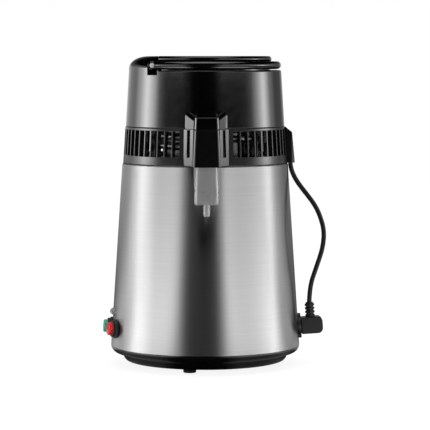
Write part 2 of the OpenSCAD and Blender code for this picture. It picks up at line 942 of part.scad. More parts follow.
// Button: a cap with a stem that slides in the housing, kept in by a snap collar
module button(turn) {
    cap_base = guide_top + button_travel + slide_gap;
    cap_top = bezel_h + button_proud;
    on_casing(turn, button_z) {
        rotate_extrude()
            polygon(concat(
                [[0, cap_base], [button_r, cap_base]],
                arc_points([button_r - cap_edge, cap_top - cap_edge], cap_edge, cap_edge, 0, 90, 4),
                [[0, cap_top + cap_crown]]
            ));
        translate([0, 0, stem_end])
            cylinder(h = cap_base - stem_end, r = stem_r);
        translate([0, 0, guide_bottom - slide_gap - snap_h])
            cylinder(h = snap_h, r = stem_r + snap_w);
    }
}

module red_button() {
    color("crimson")
        button(red_turn);
}

module green_button() {
    color("mediumseagreen")
        button(green_turn);
}

// Return spring between the stem's end and the housing's floor
module button_spring(turn) {
    rings = spring_curl_rings * spring_turns;
    low = switch_floor + spring_wire_r + fit;
    high = stem_end - spring_wire_r - fit;
    path = [
        for (i = [0:rings])
            let (a = 360 * i / spring_curl_rings)
            [spring_r * cos(a), spring_r * sin(a), low + (high - low) * i / rings]
    ];
    on_casing(turn, button_z)
        tube(path, spring_wire_r, spring_sides, [for (p = path) [0, 0, 1]]);
}

module red_spring() {
    color("lightgray")
        button_spring(red_turn);
}

module green_spring() {
    color("lightgray")
        button_spring(green_turn);
}

// Pilot lamp: a small bezel through the casing and a clear domed lens in it
module lamp_holder() {
    color("gray")
        on_casing(lamp_turn, lamp_z)
            difference() {
                union() {
                    cylinder(h = lamp_flange_t, r = lamp_r + lamp_flange_t);
                    translate([0, 0, -lamp_body_l])
                        cylinder(h = lamp_body_l, r = lamp_r);
                }
                translate([0, 0, -lamp_bore_l])
                    cylinder(h = lamp_bore_l + lamp_flange_t + cut, r = lamp_r - lamp_wall + fit);
            }
}

module pilot_lamp() {
    color("whitesmoke")
        on_casing(lamp_turn, lamp_z) {
            translate([0, 0, -lamp_stem_l])
                cylinder(h = lamp_stem_l + 2 * lamp_flange_t, r = lamp_r - lamp_wall);
            translate([0, 0, lamp_flange_t])
                intersection() {
                    sphere(lamp_r);
                    cylinder(h = 2 * lamp_r, r = 2 * lamp_r);
                }
        }
}

// Vent ring: the slotted collar of the head
module vent_ring() {
    skip_hood = asin(hood_root_w / 2 / ring_top_r) + 2;
    skip_cover = asin(cover_w / 2 / ring_top_r) + 2;
    pitch = 360 / slot_count;
    slot_w = 2 * PI * ring_top_r / slot_count - fin_t;
    color("black")
        difference() {
            union() {
                ring_wall();
                ring_pillars();
            }
            for (i = [0:slot_count - 1])
                let (turn = (i + 0.5) * pitch)
                    if (min(turn, 360 - turn) > skip_cover && abs(turn - 270) > skip_hood)
                        rotate([0, 0, turn])
                            translate([ring_top_r - 2 * fin_depth, -slot_w / 2, slot_z])
                                cube([4 * fin_depth, slot_w, slot_h]);
            hood_window();
            at_head_screws()
                translate([0, 0, ring_z])
                    cylinder(h = ring_h + cut, r = screw_r + fit);
        }
}

module ring_wall() {
    rotate_extrude()
        polygon([
            [ring_bottom_r, ring_z],
            [ring_top_r, seam_z],
            [ring_top_r - fin_depth, seam_z],
            [ring_r(fin_foot_z) - fin_depth, fin_foot_z],
            [ring_r(fin_foot_z) - ring_wall, fin_foot_z],
            [ring_bottom_r - ring_wall, ring_z]
        ]);
}

module at_head_screws() {
    around(head_screw_count, head_screw_circle_r, 180 / head_screw_count)
        children();
}

module ring_pillars() {
    low_web = ring_bottom_r - ring_wall / 2 - head_screw_circle_r;
    high_web = ring_top_r - fin_depth / 2 - head_screw_circle_r;
    at_head_screws() {
        translate([0, 0, lid_top_z])
            cylinder(h = seam_z - lid_top_z, r = boss_r);
        translate([0, -web_t / 2, lid_top_z])
            cube([low_web, web_t, fin_foot_z + web_lap - lid_top_z]);
        translate([0, -web_t / 2, slot_z + slot_h + web_lap])
            cube([high_web, web_t, slot_head - web_lap]);
    }
}

// Way through the ring's wall for the coil's outlet
module hood_window() {
    window_w = nose_bottom_w;
    translate([-window_w / 2, -ring_bottom_r - cut, slot_z])
        cube([window_w, fin_depth + ring_wall + 2 * cut, slot_h]);
}

// Spout hood: the lower half of the hood, which fits on the vent ring
module spout_hood() {
    color("black")
        hood_flank_shell(ring_z, seam_z, ring_bottom_r + fit, ring_top_r + fit);
}

// Hood: flanks that draw in to a hollow nose, under a sloping top
module hood_block(inset) {
    root_half = hood_root_w / 2 - inset;
    neck_half = hood_neck_w / 2 - inset;
    low_half = nose_bottom_w / 2 - inset;
    high_half = nose_top_w / 2 - inset;
    intersection() {
        union() {
            translate([0, 0, ring_z])
                linear_extrude(ring_h + hood_back_h)
                    polygon([
                        [-root_half, -hood_root_y], [-neck_half, inset - hood_neck_y],
                        [neck_half, inset - hood_neck_y], [root_half, -hood_root_y]
                    ]);
            translate([0, -nose_back_y, 0])
                rotate([90, 0, 0])
                    linear_extrude(hood_front_y - nose_back_y - inset)
                        polygon([
                            [-low_half, ring_z], [low_half, ring_z],
                            [high_half, nose_z], [high_half, nose_z + hood_back_h],
                            [-high_half, nose_z + hood_back_h], [-high_half, nose_z]
                        ]);
        }
        rotate([90, 0, 90])
            linear_extrude(2 * hood_root_w, center = true)
                polygon([
                    [-hood_root_y + cut, ring_z], [-hood_front_y - cut, ring_z],
                    [-hood_front_y - cut, nose_z - inset],
                    [-hood_front_y, nose_z - inset],
                    [-dome_bottom_r, hood_top_z - inset],
                    [-hood_root_y + cut, hood_top_z - inset]
                ]);
    }
}

// Hood's walls between two heights, kept outside a radius at each
module hood_flank_shell(z0, z1, keep_r0, keep_r1) {
    difference() {
        intersection() {
            hood_block(0);
            translate([-big / 2, -big, z0])
                cube([big, big, z1 - z0]);
        }
        hood_hollow();
        hood_slots();
        translate([0, 0, z0])
            cylinder(h = z1 - z0, r1 = keep_r0, r2 = keep_r1);
    }
}

// Inside of the hood: closed below the flanks, open below the nose
module hood_hollow() {
    low_half = nose_bottom_w / 2 - hood_wall;
    high_half = nose_top_w / 2 - hood_wall;
    intersection() {
        hood_block(hood_wall);
        translate([-big / 2, -big, ring_z + hood_wall])
            cube([big, big, big]);
    }
    translate([0, -nose_back_y, 0])
        rotate([90, 0, 0])
            linear_extrude(hood_front_y - nose_back_y - hood_wall)
                polygon([
                    [-low_half, ring_z - cut], [low_half, ring_z - cut],
                    [high_half, nose_z - hood_front_h], [-high_half, nose_z - hood_front_h]
                ]);
}

// One upright vent slot in each of the hood's flanks
module hood_slots() {
    slot_w = 3.6;
    share = 0.62;
    run = hood_neck_y - hood_root_y;
    drawn_in = (hood_root_w - hood_neck_w) / 2;
    for (s = [-1, 1])
        translate([s * (hood_root_w / 2 - share * drawn_in), -hood_root_y - share * run, slot_z])
            rotate([0, 0, -s * atan2(drawn_in, run)])
                translate([-2 * hood_wall, -slot_w / 2, 0])
                    cube([4 * hood_wall, slot_w, slot_h]);
}

// Dome: the glossy shell of the head, with its deck, hump and the upper half of the hood
module head_dome() {
    color("black")
        difference() {
            union() {
                difference() {
                    dome_outer();
                    difference() {
                        dome_inner();
                        notches(dome_wall);
                    }
                    notches(0);
                    notch_mouths();
                }
                intersection() {
                    guard_boss();
                    right_of(hump_x + dome_wall);
                }
                dome_posts();
                pivot_bosses();
                hood_flank_shell(seam_z, hood_top_z, dome_bottom_r - dome_wall / 2,
                                 dome_r(hood_top_z) - dome_wall / 2);
            }
            translate([0, 0, deck_z - 4 * dome_wall])
                cylinder(h = 8 * dome_wall, r = fan_opening_r);
            at_head_screws()
                translate([0, 0, seam_z - cut])
                    cylinder(h = head_boss_h, r = screw_r + fit);
            at_fan_posts()
                translate([0, 0, bracket_z])
                    cylinder(h = deck_z - dome_wall - bracket_z, r = screw_r + fit);
            translate([-pivot_x, 0, pivot_z])
                rotate([90, 0, 0])
                    cylinder(h = big, r = pivot_r + fit, center = true);
        }
}

// Dome's side and deck as one solid of revolution
module dome_body() {
    edge = [dome_top_r - dome_edge_r, deck_z - dome_edge_r];
    rotate_extrude()
        polygon(concat(
            [[0, seam_z], [dome_bottom_r - 1, seam_z], [dome_bottom_r, seam_z + 1.2]],
            arc_points(edge, dome_edge_r, dome_edge_r, 0, 90, 4),
            [[0, deck_z]]
        ));
}

module dome_outer() {
    dome_body();
    intersection() {
        hump_body(0);
        left_of(hump_x);
    }
}

// Hump's solid of revolution, with its wall taken off
module hump_body(inset) {
    crown = [dome_top_r - hump_round_w, top_z - hump_round_h];
    rotate_extrude()
        polygon(concat(
            [[0, deck_z - 2 * dome_wall], [dome_top_r - inset, deck_z - 2 * dome_wall]],
            arc_points(crown, hump_round_w - inset, hump_round_h - inset, 0, 90, 8),
            [[0, top_z - inset]]
        ));
}

module dome_inner() {
    rotate_extrude()
        polygon([
            [0, seam_z - cut], [dome_bottom_r - dome_wall, seam_z - cut],
            [dome_r(deck_z) - dome_wall, deck_z - dome_wall], [0, deck_z - dome_wall]
        ]);
    intersection() {
        hump_body(dome_wall);
        left_of(hump_x + dome_wall);
    }
}

// Notches in the hump that take the handle's eyes, grown by a wall
module notches(grow) {
    depth = big / 2;
    for (s = [-1, 1])
        translate([-pivot_x, s * (notch_y - grow + depth / 2), notch_z - grow + big / 2])
            cube([2 * (notch_x_half + grow), depth, big], center = true);
}

// Mouths of the notches, open to the deck beside the hump
module notch_mouths() {
    depth = big / 2;
    for (s = [-1, 1])
        translate([-pivot_x, s * (notch_y + depth / 2) - depth / 2, deck_z])
            cube([pivot_x - hump_x + cut, depth, big]);
}

// Round boss on the deck that carries the fan guard
module guard_boss() {
    translate([0, 0, deck_z - dome_wall])
        difference() {
            cylinder(h = guard_z - deck_z + dome_wall, r = guard_seat_r);
            translate([0, 0, -cut])
                cylinder(h = big, r = guard_seat_r - dome_wall);
        }
}

module at_fan_posts() {
    around(fan_post_count, fan_post_circle_r)
        children();
}

// Posts for the fan's bracket, and bosses for the screws that hold the head together
module dome_posts() {
    web_l = dome_r(seam_z + head_boss_h) - dome_wall / 2 - head_screw_circle_r;
    at_fan_posts()
        translate([0, 0, bracket_z + bracket_t])
            cylinder(h = deck_z - dome_wall / 2 - bracket_z - bracket_t, r = boss_r);
    at_head_screws() {
        translate([0, 0, seam_z])
            cylinder(h = head_boss_h, r = boss_r);
        translate([0, -web_t / 2, seam_z])
            cube([web_l, web_t, head_boss_h]);
    }
}

// Bosses behind the notches that take the handle's screws
module pivot_bosses() {
    boss_l = 12;
    for (s = [-1, 1])
        translate([-pivot_x, s * notch_y, pivot_z])
            rotate([s * 90, 0, 0])
                cylinder(h = boss_l, r = eye_r);
}

// Lid plate: the steel disc that closes the chamber, with the steam port at its centre
module lid_plate() {
    color("gainsboro")
        difference() {
            translate([0, 0, lid_z])
                cylinder(h = lid_t, r = lid_r);
            translate([0, 0, lid_z - cut])
                cylinder(h = lid_t + 2 * cut, r = coil_tube_r + fit);
            at_head_screws()
                translate([0, 0, lid_z - cut])
                    cylinder(h = lid_t + 2 * cut, r = screw_r + fit);
        }
}

module lid_gasket() {
    color("white")
        translate([0, 0, flange_top_z])
            difference() {
                cylinder(h = gasket_t, r = lid_r - 0.5);
                translate([0, 0, -cut])
                    cylinder(h = gasket_t + 2 * cut, r = chamber_r + 1.5);
            }
}

module head_screws() {
    color("lightgray")
        at_head_screws()
            translate([0, 0, lid_z])
                screw(seam_z + head_boss_h - screw_bite - lid_z);
}

// Coil's path: up the riser, out to the first loop, down the loops, out to the spout and down
function coil_path() =
    let (
        riser_dir = [cos(inlet_lead), sin(inlet_lead), 0],
        up = [0, 0, 1],
        riser_c = coil_drop_r * riser_dir + (coil_top_z - coil_drop_r) * up,
        in_c = (coil_r - coil_bend_r) * [cos(coil_start), sin(coil_start), 0] + coil_top_z * up,
        out_p = coil_r * [cos(coil_end), sin(coil_end), 0] + coil_bottom_z * up,
        out_c = out_p + coil_bend_r * [cos(coil_end), sin(coil_end), 0],
        drop_c = [0, coil_drop_r - spout_y, coil_bottom_z - coil_drop_r],
        loop_rings = round(24 * coil_loops)
    )
    concat(
        [[0, 0, lid_z], [0, 0, lid_top_z + coil_tube_r]],
        [for (a = [180:-22.5:90]) riser_c + coil_drop_r * (cos(a) * riser_dir + sin(a) * up)],
        [for (i = [0:4])
            let (a = inlet_lead - 90 + (coil_start - inlet_lead + 90) * i / 4)
            in_c + coil_bend_r * [cos(a), sin(a), 0]],
        [for (i = [1:loop_rings])
            let (a = coil_start + (coil_end - coil_start) * i / loop_rings)
            coil_r * [cos(a), sin(a), 0]
                + (coil_top_z + (coil_bottom_z - coil_top_z) * i / loop_rings) * up],
        [for (i = [1:4])
            let (a = (coil_end - 180) * (1 - i / 4))
            out_c + coil_bend_r * [cos(a), sin(a), 0]],
        [for (a = [90:22.5:180]) drop_c + coil_drop_r * [0, cos(a), sin(a)]],
        [[0, -spout_y, outlet_tip_z]]
    );

// Least gap between points of the path that are over a quarter loop apart along it
function least_gap(path, r) = min([
    for (i = [0:len(path) - 8])
        for (j = [i + 7:len(path) - 1])
            norm(path[i] - path[j]) - 2 * r
]);

module condenser_coil() {
    path = coil_path();
    hints = [for (i = [0:len(path) - 1]) abs(heading(path, i).z) > 0.9 ? [1, 0, 0] : [0, 0, 1]];
    echo(coil_least_gap = least_gap(path, coil_tube_r));
    color("silver")
        pipe(path, coil_tube_r, coil_wall, coil_sides, hints);
}

module steam_seal() {
    color("white")
        translate([0, 0, lid_top_z])
            difference() {
                cylinder(h = seal_h, r = coil_tube_r + seal_w);
                translate([0, 0, -cut])
                    cylinder(h = seal_h + 2 * cut, r = coil_tube_r + fit);
            }
}

// Air guide: a drum on the lid plate that turns the fan's air outwards through the coil
module air_guide() {
    color("black")
        translate([0, 0, lid_top_z])
            difference() {
                cylinder(h = guide_h, r = guide_r);
                translate([0, 0, -cut])
                    cylinder(h = guide_h - guide_wall + cut, r = guide_r - guide_wall);
                cylinder(h = guide_h + cut, r = coil_tube_r + guide_gap);
            }
}

// Motor under its bracket, with a bore for the shaft and its two bearings
module fan_motor() {
    color("gray")
        translate([0, 0, motor_z])
            difference() {
                union() {
                    cylinder(h = motor_h, r = motor_r);
                    translate([0, 0, motor_h / 3])
                        cylinder(h = motor_h / 3, r = motor_r + 2);
                }
                translate([0, 0, -cut])
                    cylinder(h = motor_h + 2 * cut, r = bearing_r + fit / 2);
                at_motor_screws()
                    translate([0, 0, motor_h - screw_bite - cut])
                        cylinder(h = screw_bite + 2 * cut, r = screw_r + fit);
            }
}

module at_motor_screws() {
    around(2, motor_r - motor_screw_inset, 90)
        children();
}

module motor_bearings() {
    color("goldenrod")
        for (z = [motor_z, motor_z + motor_h - bearing_h])
            translate([0, 0, z])
                difference() {
                    cylinder(h = bearing_h, r = bearing_r);
                    translate([0, 0, -cut])
                        cylinder(h = bearing_h + 2 * cut, r = shaft_r + running_gap);
                }
}

// Bracket: a steel spider that hangs the motor from the dome's posts
module fan_bracket() {
    arm_w = 9;
    color("silver")
        translate([0, 0, bracket_z])
            difference() {
                union() {
                    cylinder(h = bracket_t, r = motor_r + 1);
                    at_fan_posts()
                        cylinder(h = bracket_t, r = boss_r);
                    around(fan_post_count, 0)
                        translate([0, -arm_w / 2, 0])
                            cube([fan_post_circle_r, arm_w, bracket_t]);
                }
                translate([0, 0, -cut])
                    cylinder(h = bracket_t + 2 * cut, r = bearing_r + 1);
                at_fan_posts()
                    translate([0, 0, -cut])
                        cylinder(h = bracket_t + 2 * cut, r = screw_r + fit);
                at_motor_screws()
                    translate([0, 0, -cut])
                        cylinder(h = bracket_t + 2 * cut, r = screw_r + fit);
            }
}

// Screws up into the posts, and down into the motor
module bracket_screws() {
    motor_screw_head_h = 1.5;
    color("lightgray") {
        at_fan_posts()
            translate([0, 0, bracket_z])
                screw(bracket_t + 2 * screw_bite);
        at_motor_screws()
            translate([0, 0, bracket_z + bracket_t])
                mirror([0, 0, 1])
                    screw(bracket_t + screw_bite, head_h = motor_screw_head_h);
    }
}

module fan_shaft() {
    color("lightgray")
        translate([0, 0, shaft_z])
            cylinder(h = shaft_top_z - shaft_z, r = shaft_r);
}

// Rotor: a hub with pitched blades
module fan_rotor() {
    blade_l = rotor_h / cos(blade_pitch) * 2;
    color("black")
        difference() {
            union() {
                translate([0, 0, rotor_z])
                    cylinder(h = rotor_h, r = rotor_hub_r);
                intersection() {
                    translate([0, 0, rotor_z + 1])
                        cylinder(h = rotor_h - 2, r = rotor_r);
                    around(blade_count, rotor_hub_r - 2)
                        translate([0, 0, rotor_z + rotor_h / 2])
                            rotate([blade_pitch, 0, 0])
                                translate([0, -blade_l / 2, -blade_t / 2])
                                    cube([rotor_r, blade_l, blade_t]);
                }
            }
            translate([0, 0, rotor_z - cut])
                cylinder(h = shaft_top_z - rotor_z + cut, r = shaft_r + press_gap);
        }
}

// Fan guard: a round-edged rim, a flat margin and a grille of rings and spokes
module fan_guard() {
    edge_w = guard_r - guard_seat_r + dome_wall;
    edge = [guard_r - guard_h / 2, guard_z + guard_h / 2];
    ring_steps = floor((fan_opening_r - rotor_hub_r) / guard_pitch);
    color("black")
        intersection() {
            union() {
                rotate_extrude()
                    polygon(concat(
                        [[guard_r - edge_w, guard_z]],
                        arc_points(edge, guard_h / 2, guard_h / 2, -90, 90, 8),
                        [
                            [fan_opening_r, top_z], [fan_opening_r, top_z - guard_plate_t],
                            [guard_r - edge_w, top_z - guard_plate_t]
                        ]
                    ));
                translate([0, 0, top_z - guard_plate_t]) {
                    cylinder(h = guard_plate_t, r = rotor_hub_r);
                    for (i = [1:ring_steps])
                        grille_ring(rotor_hub_r + i * guard_pitch, guard_plate_t);
                    around(guard_spoke_count, 0)
                        translate([rotor_hub_r / 2, -guard_bar / 2, 0])
                            cube([fan_opening_r - rotor_hub_r / 2 + cut, guard_bar, guard_plate_t]);
                }
            }
            right_of(hump_x - slide_gap);
        }
}

module grille_ring(r, h) {
    difference() {
        cylinder(h = h, r = r);
        translate([0, 0, -cut])
            cylinder(h = h + 2 * cut, r = r - guard_bar);
    }
}

// Handle: a rod bent round the dome, with an eye at each end
module carry_handle() {
    color("black")
        difference() {
            union() {
                translate([0, 0, pivot_z])
                    rotate([0, 0, -handle_arc])
                        rotate_extrude(angle = 2 * handle_arc)
                            translate([handle_path_r, 0])
                                circle(handle_r);
                at_eyes()
                    cylinder(h = eye_l, r = eye_r, center = true);
            }
            at_eyes()
                cylinder(h = 3 * eye_l, r = pivot_r + running_gap, center = true);
            at_eyes()
                translate([0, 0, eye_l / 2 - eye_recess])
                    cylinder(h = eye_l, r = screw_head_r + slide_gap);
        }
}

// Handle's eyes, local +Z pointing outwards along the pivot
module at_eyes() {
    for (s = [-1, 1])
        translate([-pivot_x, s * pivot_y, pivot_z])
            rotate([-s * 90, 0, 0])
                children();
}

module handle_screws() {
    color("whitesmoke")
        at_eyes()
            translate([0, 0, eye_l / 2 - eye_recess + slide_gap])
                mirror([0, 0, 1])
                    screw(eye_l + screw_bite, r = pivot_r);
}

// Cord cover: the small housing on the vent ring that the fan cord comes out of
module cord_cover_block(inset) {
    low_r = ring_bottom_r + cover_bottom_reach - inset;
    high_r = ring_top_r + cover_top_reach - inset;
    w = cover_w - 2 * inset;
    intersection() {
        translate([0, w / 2, 0])
            rotate([90, 0, 0])
                linear_extrude(w)
                    polygon([
                        [ring_top_r - ring_wall, ring_z + inset], [low_r, ring_z + inset],
                        [high_r, seam_z - cover_top_drop - inset],
                        [ring_top_r, seam_z - inset], [ring_top_r - ring_wall, seam_z - inset]
                    ]);
        translate([0, 0, ring_z])
            linear_extrude(ring_h)
                translate([low_r - cover_w / 2, 0])
                    round_rect(cover_w, w, 4);
    }
}

module cord_cover() {
    color("black")
        difference() {
            cord_cover_block(0);
            cord_cover_block(cover_wall);
            rotate_extrude()
                polygon([
                    [0, ring_z - cut], [ring_r(ring_z - cut) + fit, ring_z - cut],
                    [ring_r(seam_z + cut) + fit, seam_z + cut], [0, seam_z + cut]
                ]);
            translate([cord_exit_x, 0, ring_z - cut])
                cylinder(h = bush_h + 2 * cut, r = cord_r + bush_wall + fit);
        }
}

// Rubber bush in the cover's floor, round the cord
module cord_bush() {
    color("dimgray")
        translate([cord_exit_x, 0, ring_z])
            difference() {
                cylinder(h = bush_h, r = cord_r + bush_wall);
                translate([0, 0, -cut])
                    cylinder(h = bush_h + 2 * cut, r = cord_r + fit);
            }
}

module fan_cord() {
    color("black")
        tube(cord_route, cord_r, cord_sides, [for (p = cord_route) [0, 1, 0]]);
}

// Plug: a right-angled moulding with a ribbed boot for the cord
module fan_plug() {
    face = socket_flange_t + slide_gap;
    end_r = 6;
    bore_l = 8;
    rib_count = 4;
    boot_r = cord_r + 2.9;
    color("black")
        on_casing(0, socket_z)
            difference() {
                union() {
                    translate([0, plug_w / 2, face])
                        rotate([90, 0, 0])
                            linear_extrude(plug_w) {
                                translate([-plug_h / 2, 0])
                                    square([plug_h, plug_l - end_r]);
                                translate([end_r - plug_h / 2, 0])
                                    square([plug_h - 2 * end_r, plug_l]);
                                for (s = [-1, 1])
                                    translate([s * (plug_h / 2 - end_r), plug_l - end_r])
                                        circle(end_r);
                            }
                    translate([-plug_h / 2, 0, boot_reach])
                        rotate([0, -90, 0]) {
                            cylinder(h = boot_l, r = boot_r - 1);
                            for (i = [0:rib_count - 1])
                                translate([0, 0, i * boot_l / rib_count])
                                    cylinder(h = boot_l / rib_count * 0.6, r = boot_r);
                        }
                }
                translate([bore_l - plug_h / 2 - boot_l, 0, boot_reach])
                    rotate([0, -90, 0])
                        cylinder(h = bore_l + cut, r = cord_r + slide_gap);
            }
}

// Flat slab with the cup's rounded corners
module cup_slab(w, d, z) {
    translate([0, -spout_y, z])
        linear_extrude(slab_t)
            round_rect(w, d, cup_corner_r, $fn = hull_fn);
}

// Spout cup: a tapered cup with a collar that fits up into the hood and a drip tip below
module spout_cup() {
    low_w = cup_w - cup_taper;
    inner = 2 * cup_wall;
    color("white", 0.7)
        difference() {
            union() {
                hull() {
                    cup_slab(low_w - cup_edge, cup_d - cup_edge, cup_z);
                    cup_slab(low_w, cup_d, cup_z + cup_edge);
                    cup_slab(cup_w, cup_d, shoulder_z - slab_t);
                }
                translate([0, -spout_y, shoulder_z - cut])
                    linear_extrude(collar_h + cut)
                        round_rect(collar_w, collar_d, cup_corner_r);
                translate([0, -spout_y, cup_z - tip_l])
                    cylinder(h = tip_l + cut, r = tip_r);
            }
            hull() {
                cup_slab(low_w - inner - cup_edge, cup_d - inner - cup_edge, cup_z + cup_wall);
                cup_slab(low_w - inner, cup_d - inner, cup_z + cup_wall + cup_edge);
                cup_slab(collar_w - inner, collar_d - inner, shoulder_z);
            }
            translate([0, -spout_y, shoulder_z - cut])
                linear_extrude(collar_h + 2 * cut)
                    round_rect(collar_w - inner, collar_d - inner, cup_corner_r - 1);
            translate([0, -spout_y, cup_z - tip_l - cut])
                cylinder(h = tip_l + 3 * cut + cup_wall, r = tip_bore_r);
        }
}

// Charcoal filter: a soft pod that stands on the cup's floor
module charcoal_filter() {
    side_gap = 2 * (cup_wall + filter_side_gap);
    color("ivory")
        translate([0, -spout_y, cup_z + cup_wall + filter_seat_gap])
            linear_extrude(filter_h)
                round_rect(cup_w - cup_taper - side_gap, cup_d - side_gap, cup_corner_r);
}

outer_casing();
boiling_chamber();
base_ring();
base_tray();
rubber_feet();
foot_screws();
base_screws();
heat_spreader();
heating_element();
thermostat();
thermal_cutoff();
power_inlet();
inlet_pins();
inlet_screws();
fan_socket();
socket_screws();
red_switch();
green_switch();
switch_nuts();
red_button();
green_button();
red_spring();
green_spring();
lamp_holder();
pilot_lamp();
vent_ring();
spout_hood();
head_dome();
lid_plate();
lid_gasket();
head_screws();
condenser_coil();
steam_seal();
air_guide();
fan_motor();
motor_bearings();
fan_bracket();
bracket_screws();
fan_shaft();
fan_rotor();
fan_guard();
carry_handle();
handle_screws();
cord_cover();
cord_bush();
fan_cord();
fan_plug();
spout_cup();
charcoal_filter();
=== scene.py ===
"""Countertop water distiller: a tapered steel boiler under a lift-off black cooling head.

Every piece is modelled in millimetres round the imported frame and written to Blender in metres.
The spout faces -Y, and the origin lies on the axis, on the worktop.
"""

import json
import math

import bmesh
import bpy
from mathutils import Matrix, Vector
from mathutils.geometry import interpolate_bezier

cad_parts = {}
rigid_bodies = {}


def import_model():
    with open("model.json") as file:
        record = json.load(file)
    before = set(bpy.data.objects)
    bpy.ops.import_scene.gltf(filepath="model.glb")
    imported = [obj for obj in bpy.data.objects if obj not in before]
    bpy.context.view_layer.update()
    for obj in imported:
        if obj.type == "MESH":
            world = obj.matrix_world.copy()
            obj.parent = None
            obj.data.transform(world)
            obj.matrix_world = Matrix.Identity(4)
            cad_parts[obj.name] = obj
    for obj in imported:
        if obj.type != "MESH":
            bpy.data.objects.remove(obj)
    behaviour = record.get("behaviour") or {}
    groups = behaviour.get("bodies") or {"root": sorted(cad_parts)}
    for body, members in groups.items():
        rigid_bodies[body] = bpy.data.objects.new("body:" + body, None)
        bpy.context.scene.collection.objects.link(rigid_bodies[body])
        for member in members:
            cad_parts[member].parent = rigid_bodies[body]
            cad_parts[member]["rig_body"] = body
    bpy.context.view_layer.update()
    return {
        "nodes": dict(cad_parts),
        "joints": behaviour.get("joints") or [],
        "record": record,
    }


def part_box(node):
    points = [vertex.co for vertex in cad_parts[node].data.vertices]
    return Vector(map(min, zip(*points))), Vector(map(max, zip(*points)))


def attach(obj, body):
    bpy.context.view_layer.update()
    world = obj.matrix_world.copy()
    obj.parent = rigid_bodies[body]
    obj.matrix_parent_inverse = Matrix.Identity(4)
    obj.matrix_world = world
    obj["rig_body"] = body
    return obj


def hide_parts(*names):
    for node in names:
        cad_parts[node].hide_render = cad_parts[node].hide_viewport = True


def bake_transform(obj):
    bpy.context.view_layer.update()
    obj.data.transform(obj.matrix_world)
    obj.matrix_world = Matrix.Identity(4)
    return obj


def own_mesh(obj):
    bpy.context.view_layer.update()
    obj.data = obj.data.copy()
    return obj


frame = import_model()

bl_info = {
    "name": "Countertop water distiller",
    "version": (1, 0, 0),
    "blender": (4, 5, 0),
    "location": "View3D > Sidebar > Distiller",
    "description": "Models a countertop water distiller and its studio, one piece at a time",
    "category": "Object",
}

MM = 0.001

# Points this near each other merge, in metres. Points this near a height or a plane lie in it, in millimetres
MERGE = 1e-6
LEVEL = 0.05


# Measures taken from the frame

def corners(node):
    """Lowest and highest corner of a solid, in millimetres."""
    low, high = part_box(node)
    return low / MM, high / MM


def points_at(node, height):
    """A solid's points at a height, in millimetres."""
    spots = [v.co / MM for v in frame["nodes"][node].data.vertices]
    return [spot for spot in spots if abs(spot.z - height) < LEVEL]


def radii_at(node, height):
    """Least and greatest distance from the axis of a solid's points at a height, at the back."""
    found = [math.hypot(spot.x, spot.y) for spot in points_at(node, height) if spot.y > 0]
    return min(found), max(found)


def joint_place(name):
    """Place of a joint, in millimetres."""
    joint = next(j for j in frame["joints"] if j["name"] == name)
    return Vector(joint["pos_m"]) / MM


CASING_Z = corners("outer_casing")[0].z
RIM_Z = corners("outer_casing")[1].z
CASING_BOTTOM_R = corners("outer_casing")[1].x
CASING_TOP_R = radii_at("outer_casing", RIM_Z)[1]
CONE = math.atan2(CASING_BOTTOM_R - CASING_TOP_R, RIM_Z - CASING_Z)
LIP_Z = corners("base_ring")[0].z
TRAY_Z = corners("base_tray")[0].z
TRAY_BOTTOM_R = radii_at("base_tray", TRAY_Z)[1]
TRAY_TOP_R = radii_at("base_tray", LIP_Z)[1]
CHAMBER_FLOOR_Z = corners("boiling_chamber")[0].z
CHAMBER_TOP_Z = corners("boiling_chamber")[1].z
CHAMBER_RIM_R = corners("boiling_chamber")[1].x
CHAMBER_R = radii_at("boiling_chamber", CHAMBER_TOP_Z)[0]
RING_Z = corners("vent_ring")[0].z
SEAM_Z = corners("vent_ring")[1].z
RING_BOTTOM_R = radii_at("vent_ring", RING_Z)[1]
RING_TOP_R = radii_at("vent_ring", SEAM_Z)[1]
DOME_R = corners("head_dome")[1].x
TOP_Z = corners("head_dome")[1].z
GUARD_Z = corners("fan_guard")[0].z
GUARD_R = corners("fan_guard")[1].x
PIVOT = joint_place("handle_swing")
CUP_LOW, CUP_HIGH = corners("spout_cup")
COLLAR_W = 2 * max(spot.x for spot in points_at("spout_cup", CUP_HIGH.z))
POD_LOW, POD_HIGH = corners("charcoal_filter")
SLOTS = {part["node"]: part["material_slot"] for part in frame["record"]["subparts"]}
FOOT = Vector(next(m["pos_m"] for m in frame["record"]["mounts"] if m["name"] == "foot_pad")) / MM

# Driving dimensions that the frame's boxes don't give: walls, fits, screws, and a reach past everything
WALL = 2.5
FIT = 0.1
SCREW_R = 1.75
SCREW_HOLE_R = 1.85
SCREW_HEAD_R = 3.2
SCREW_HEAD_H = 2
BOSS_R = 4.5
WEB_T = 3
FAR = 400

# Base
LIP_ROUND = 8
LOCATE_H = 6
FOOT_COUNT = 3
FOOT_REACH = math.hypot(FOOT.x, FOOT.y)
FOOT_TURN = math.degrees(math.atan2(FOOT.y, FOOT.x))
FOOT_FLOOR = 2.5
TRAY_SCREW_REACH = 86
TRAY_SCREW_TURN = FOOT_TURN + 180 / FOOT_COUNT
TRAY_SCREW_Z = 8

# Vent ring, closed for so many slots' pitches to either side of the hood and of the cord cover.
# The hood faces the front, at that angle
FRONT = 270
SLOT_Z = 249.5
SLOT_TOP_Z = 279
SLOT_COUNT = 60
SLOT_PITCH = 360 / SLOT_COUNT
HOOD_CLOSED = 3.5
COVER_CLOSED = 2.5
FIN_DEPTH = 6
FIN_T = 2.4
PILLAR_Z = 241.5
HEAD_SCREW_COUNT = 4
HEAD_SCREW_REACH = 82
HEAD_SCREW_TURN = 45

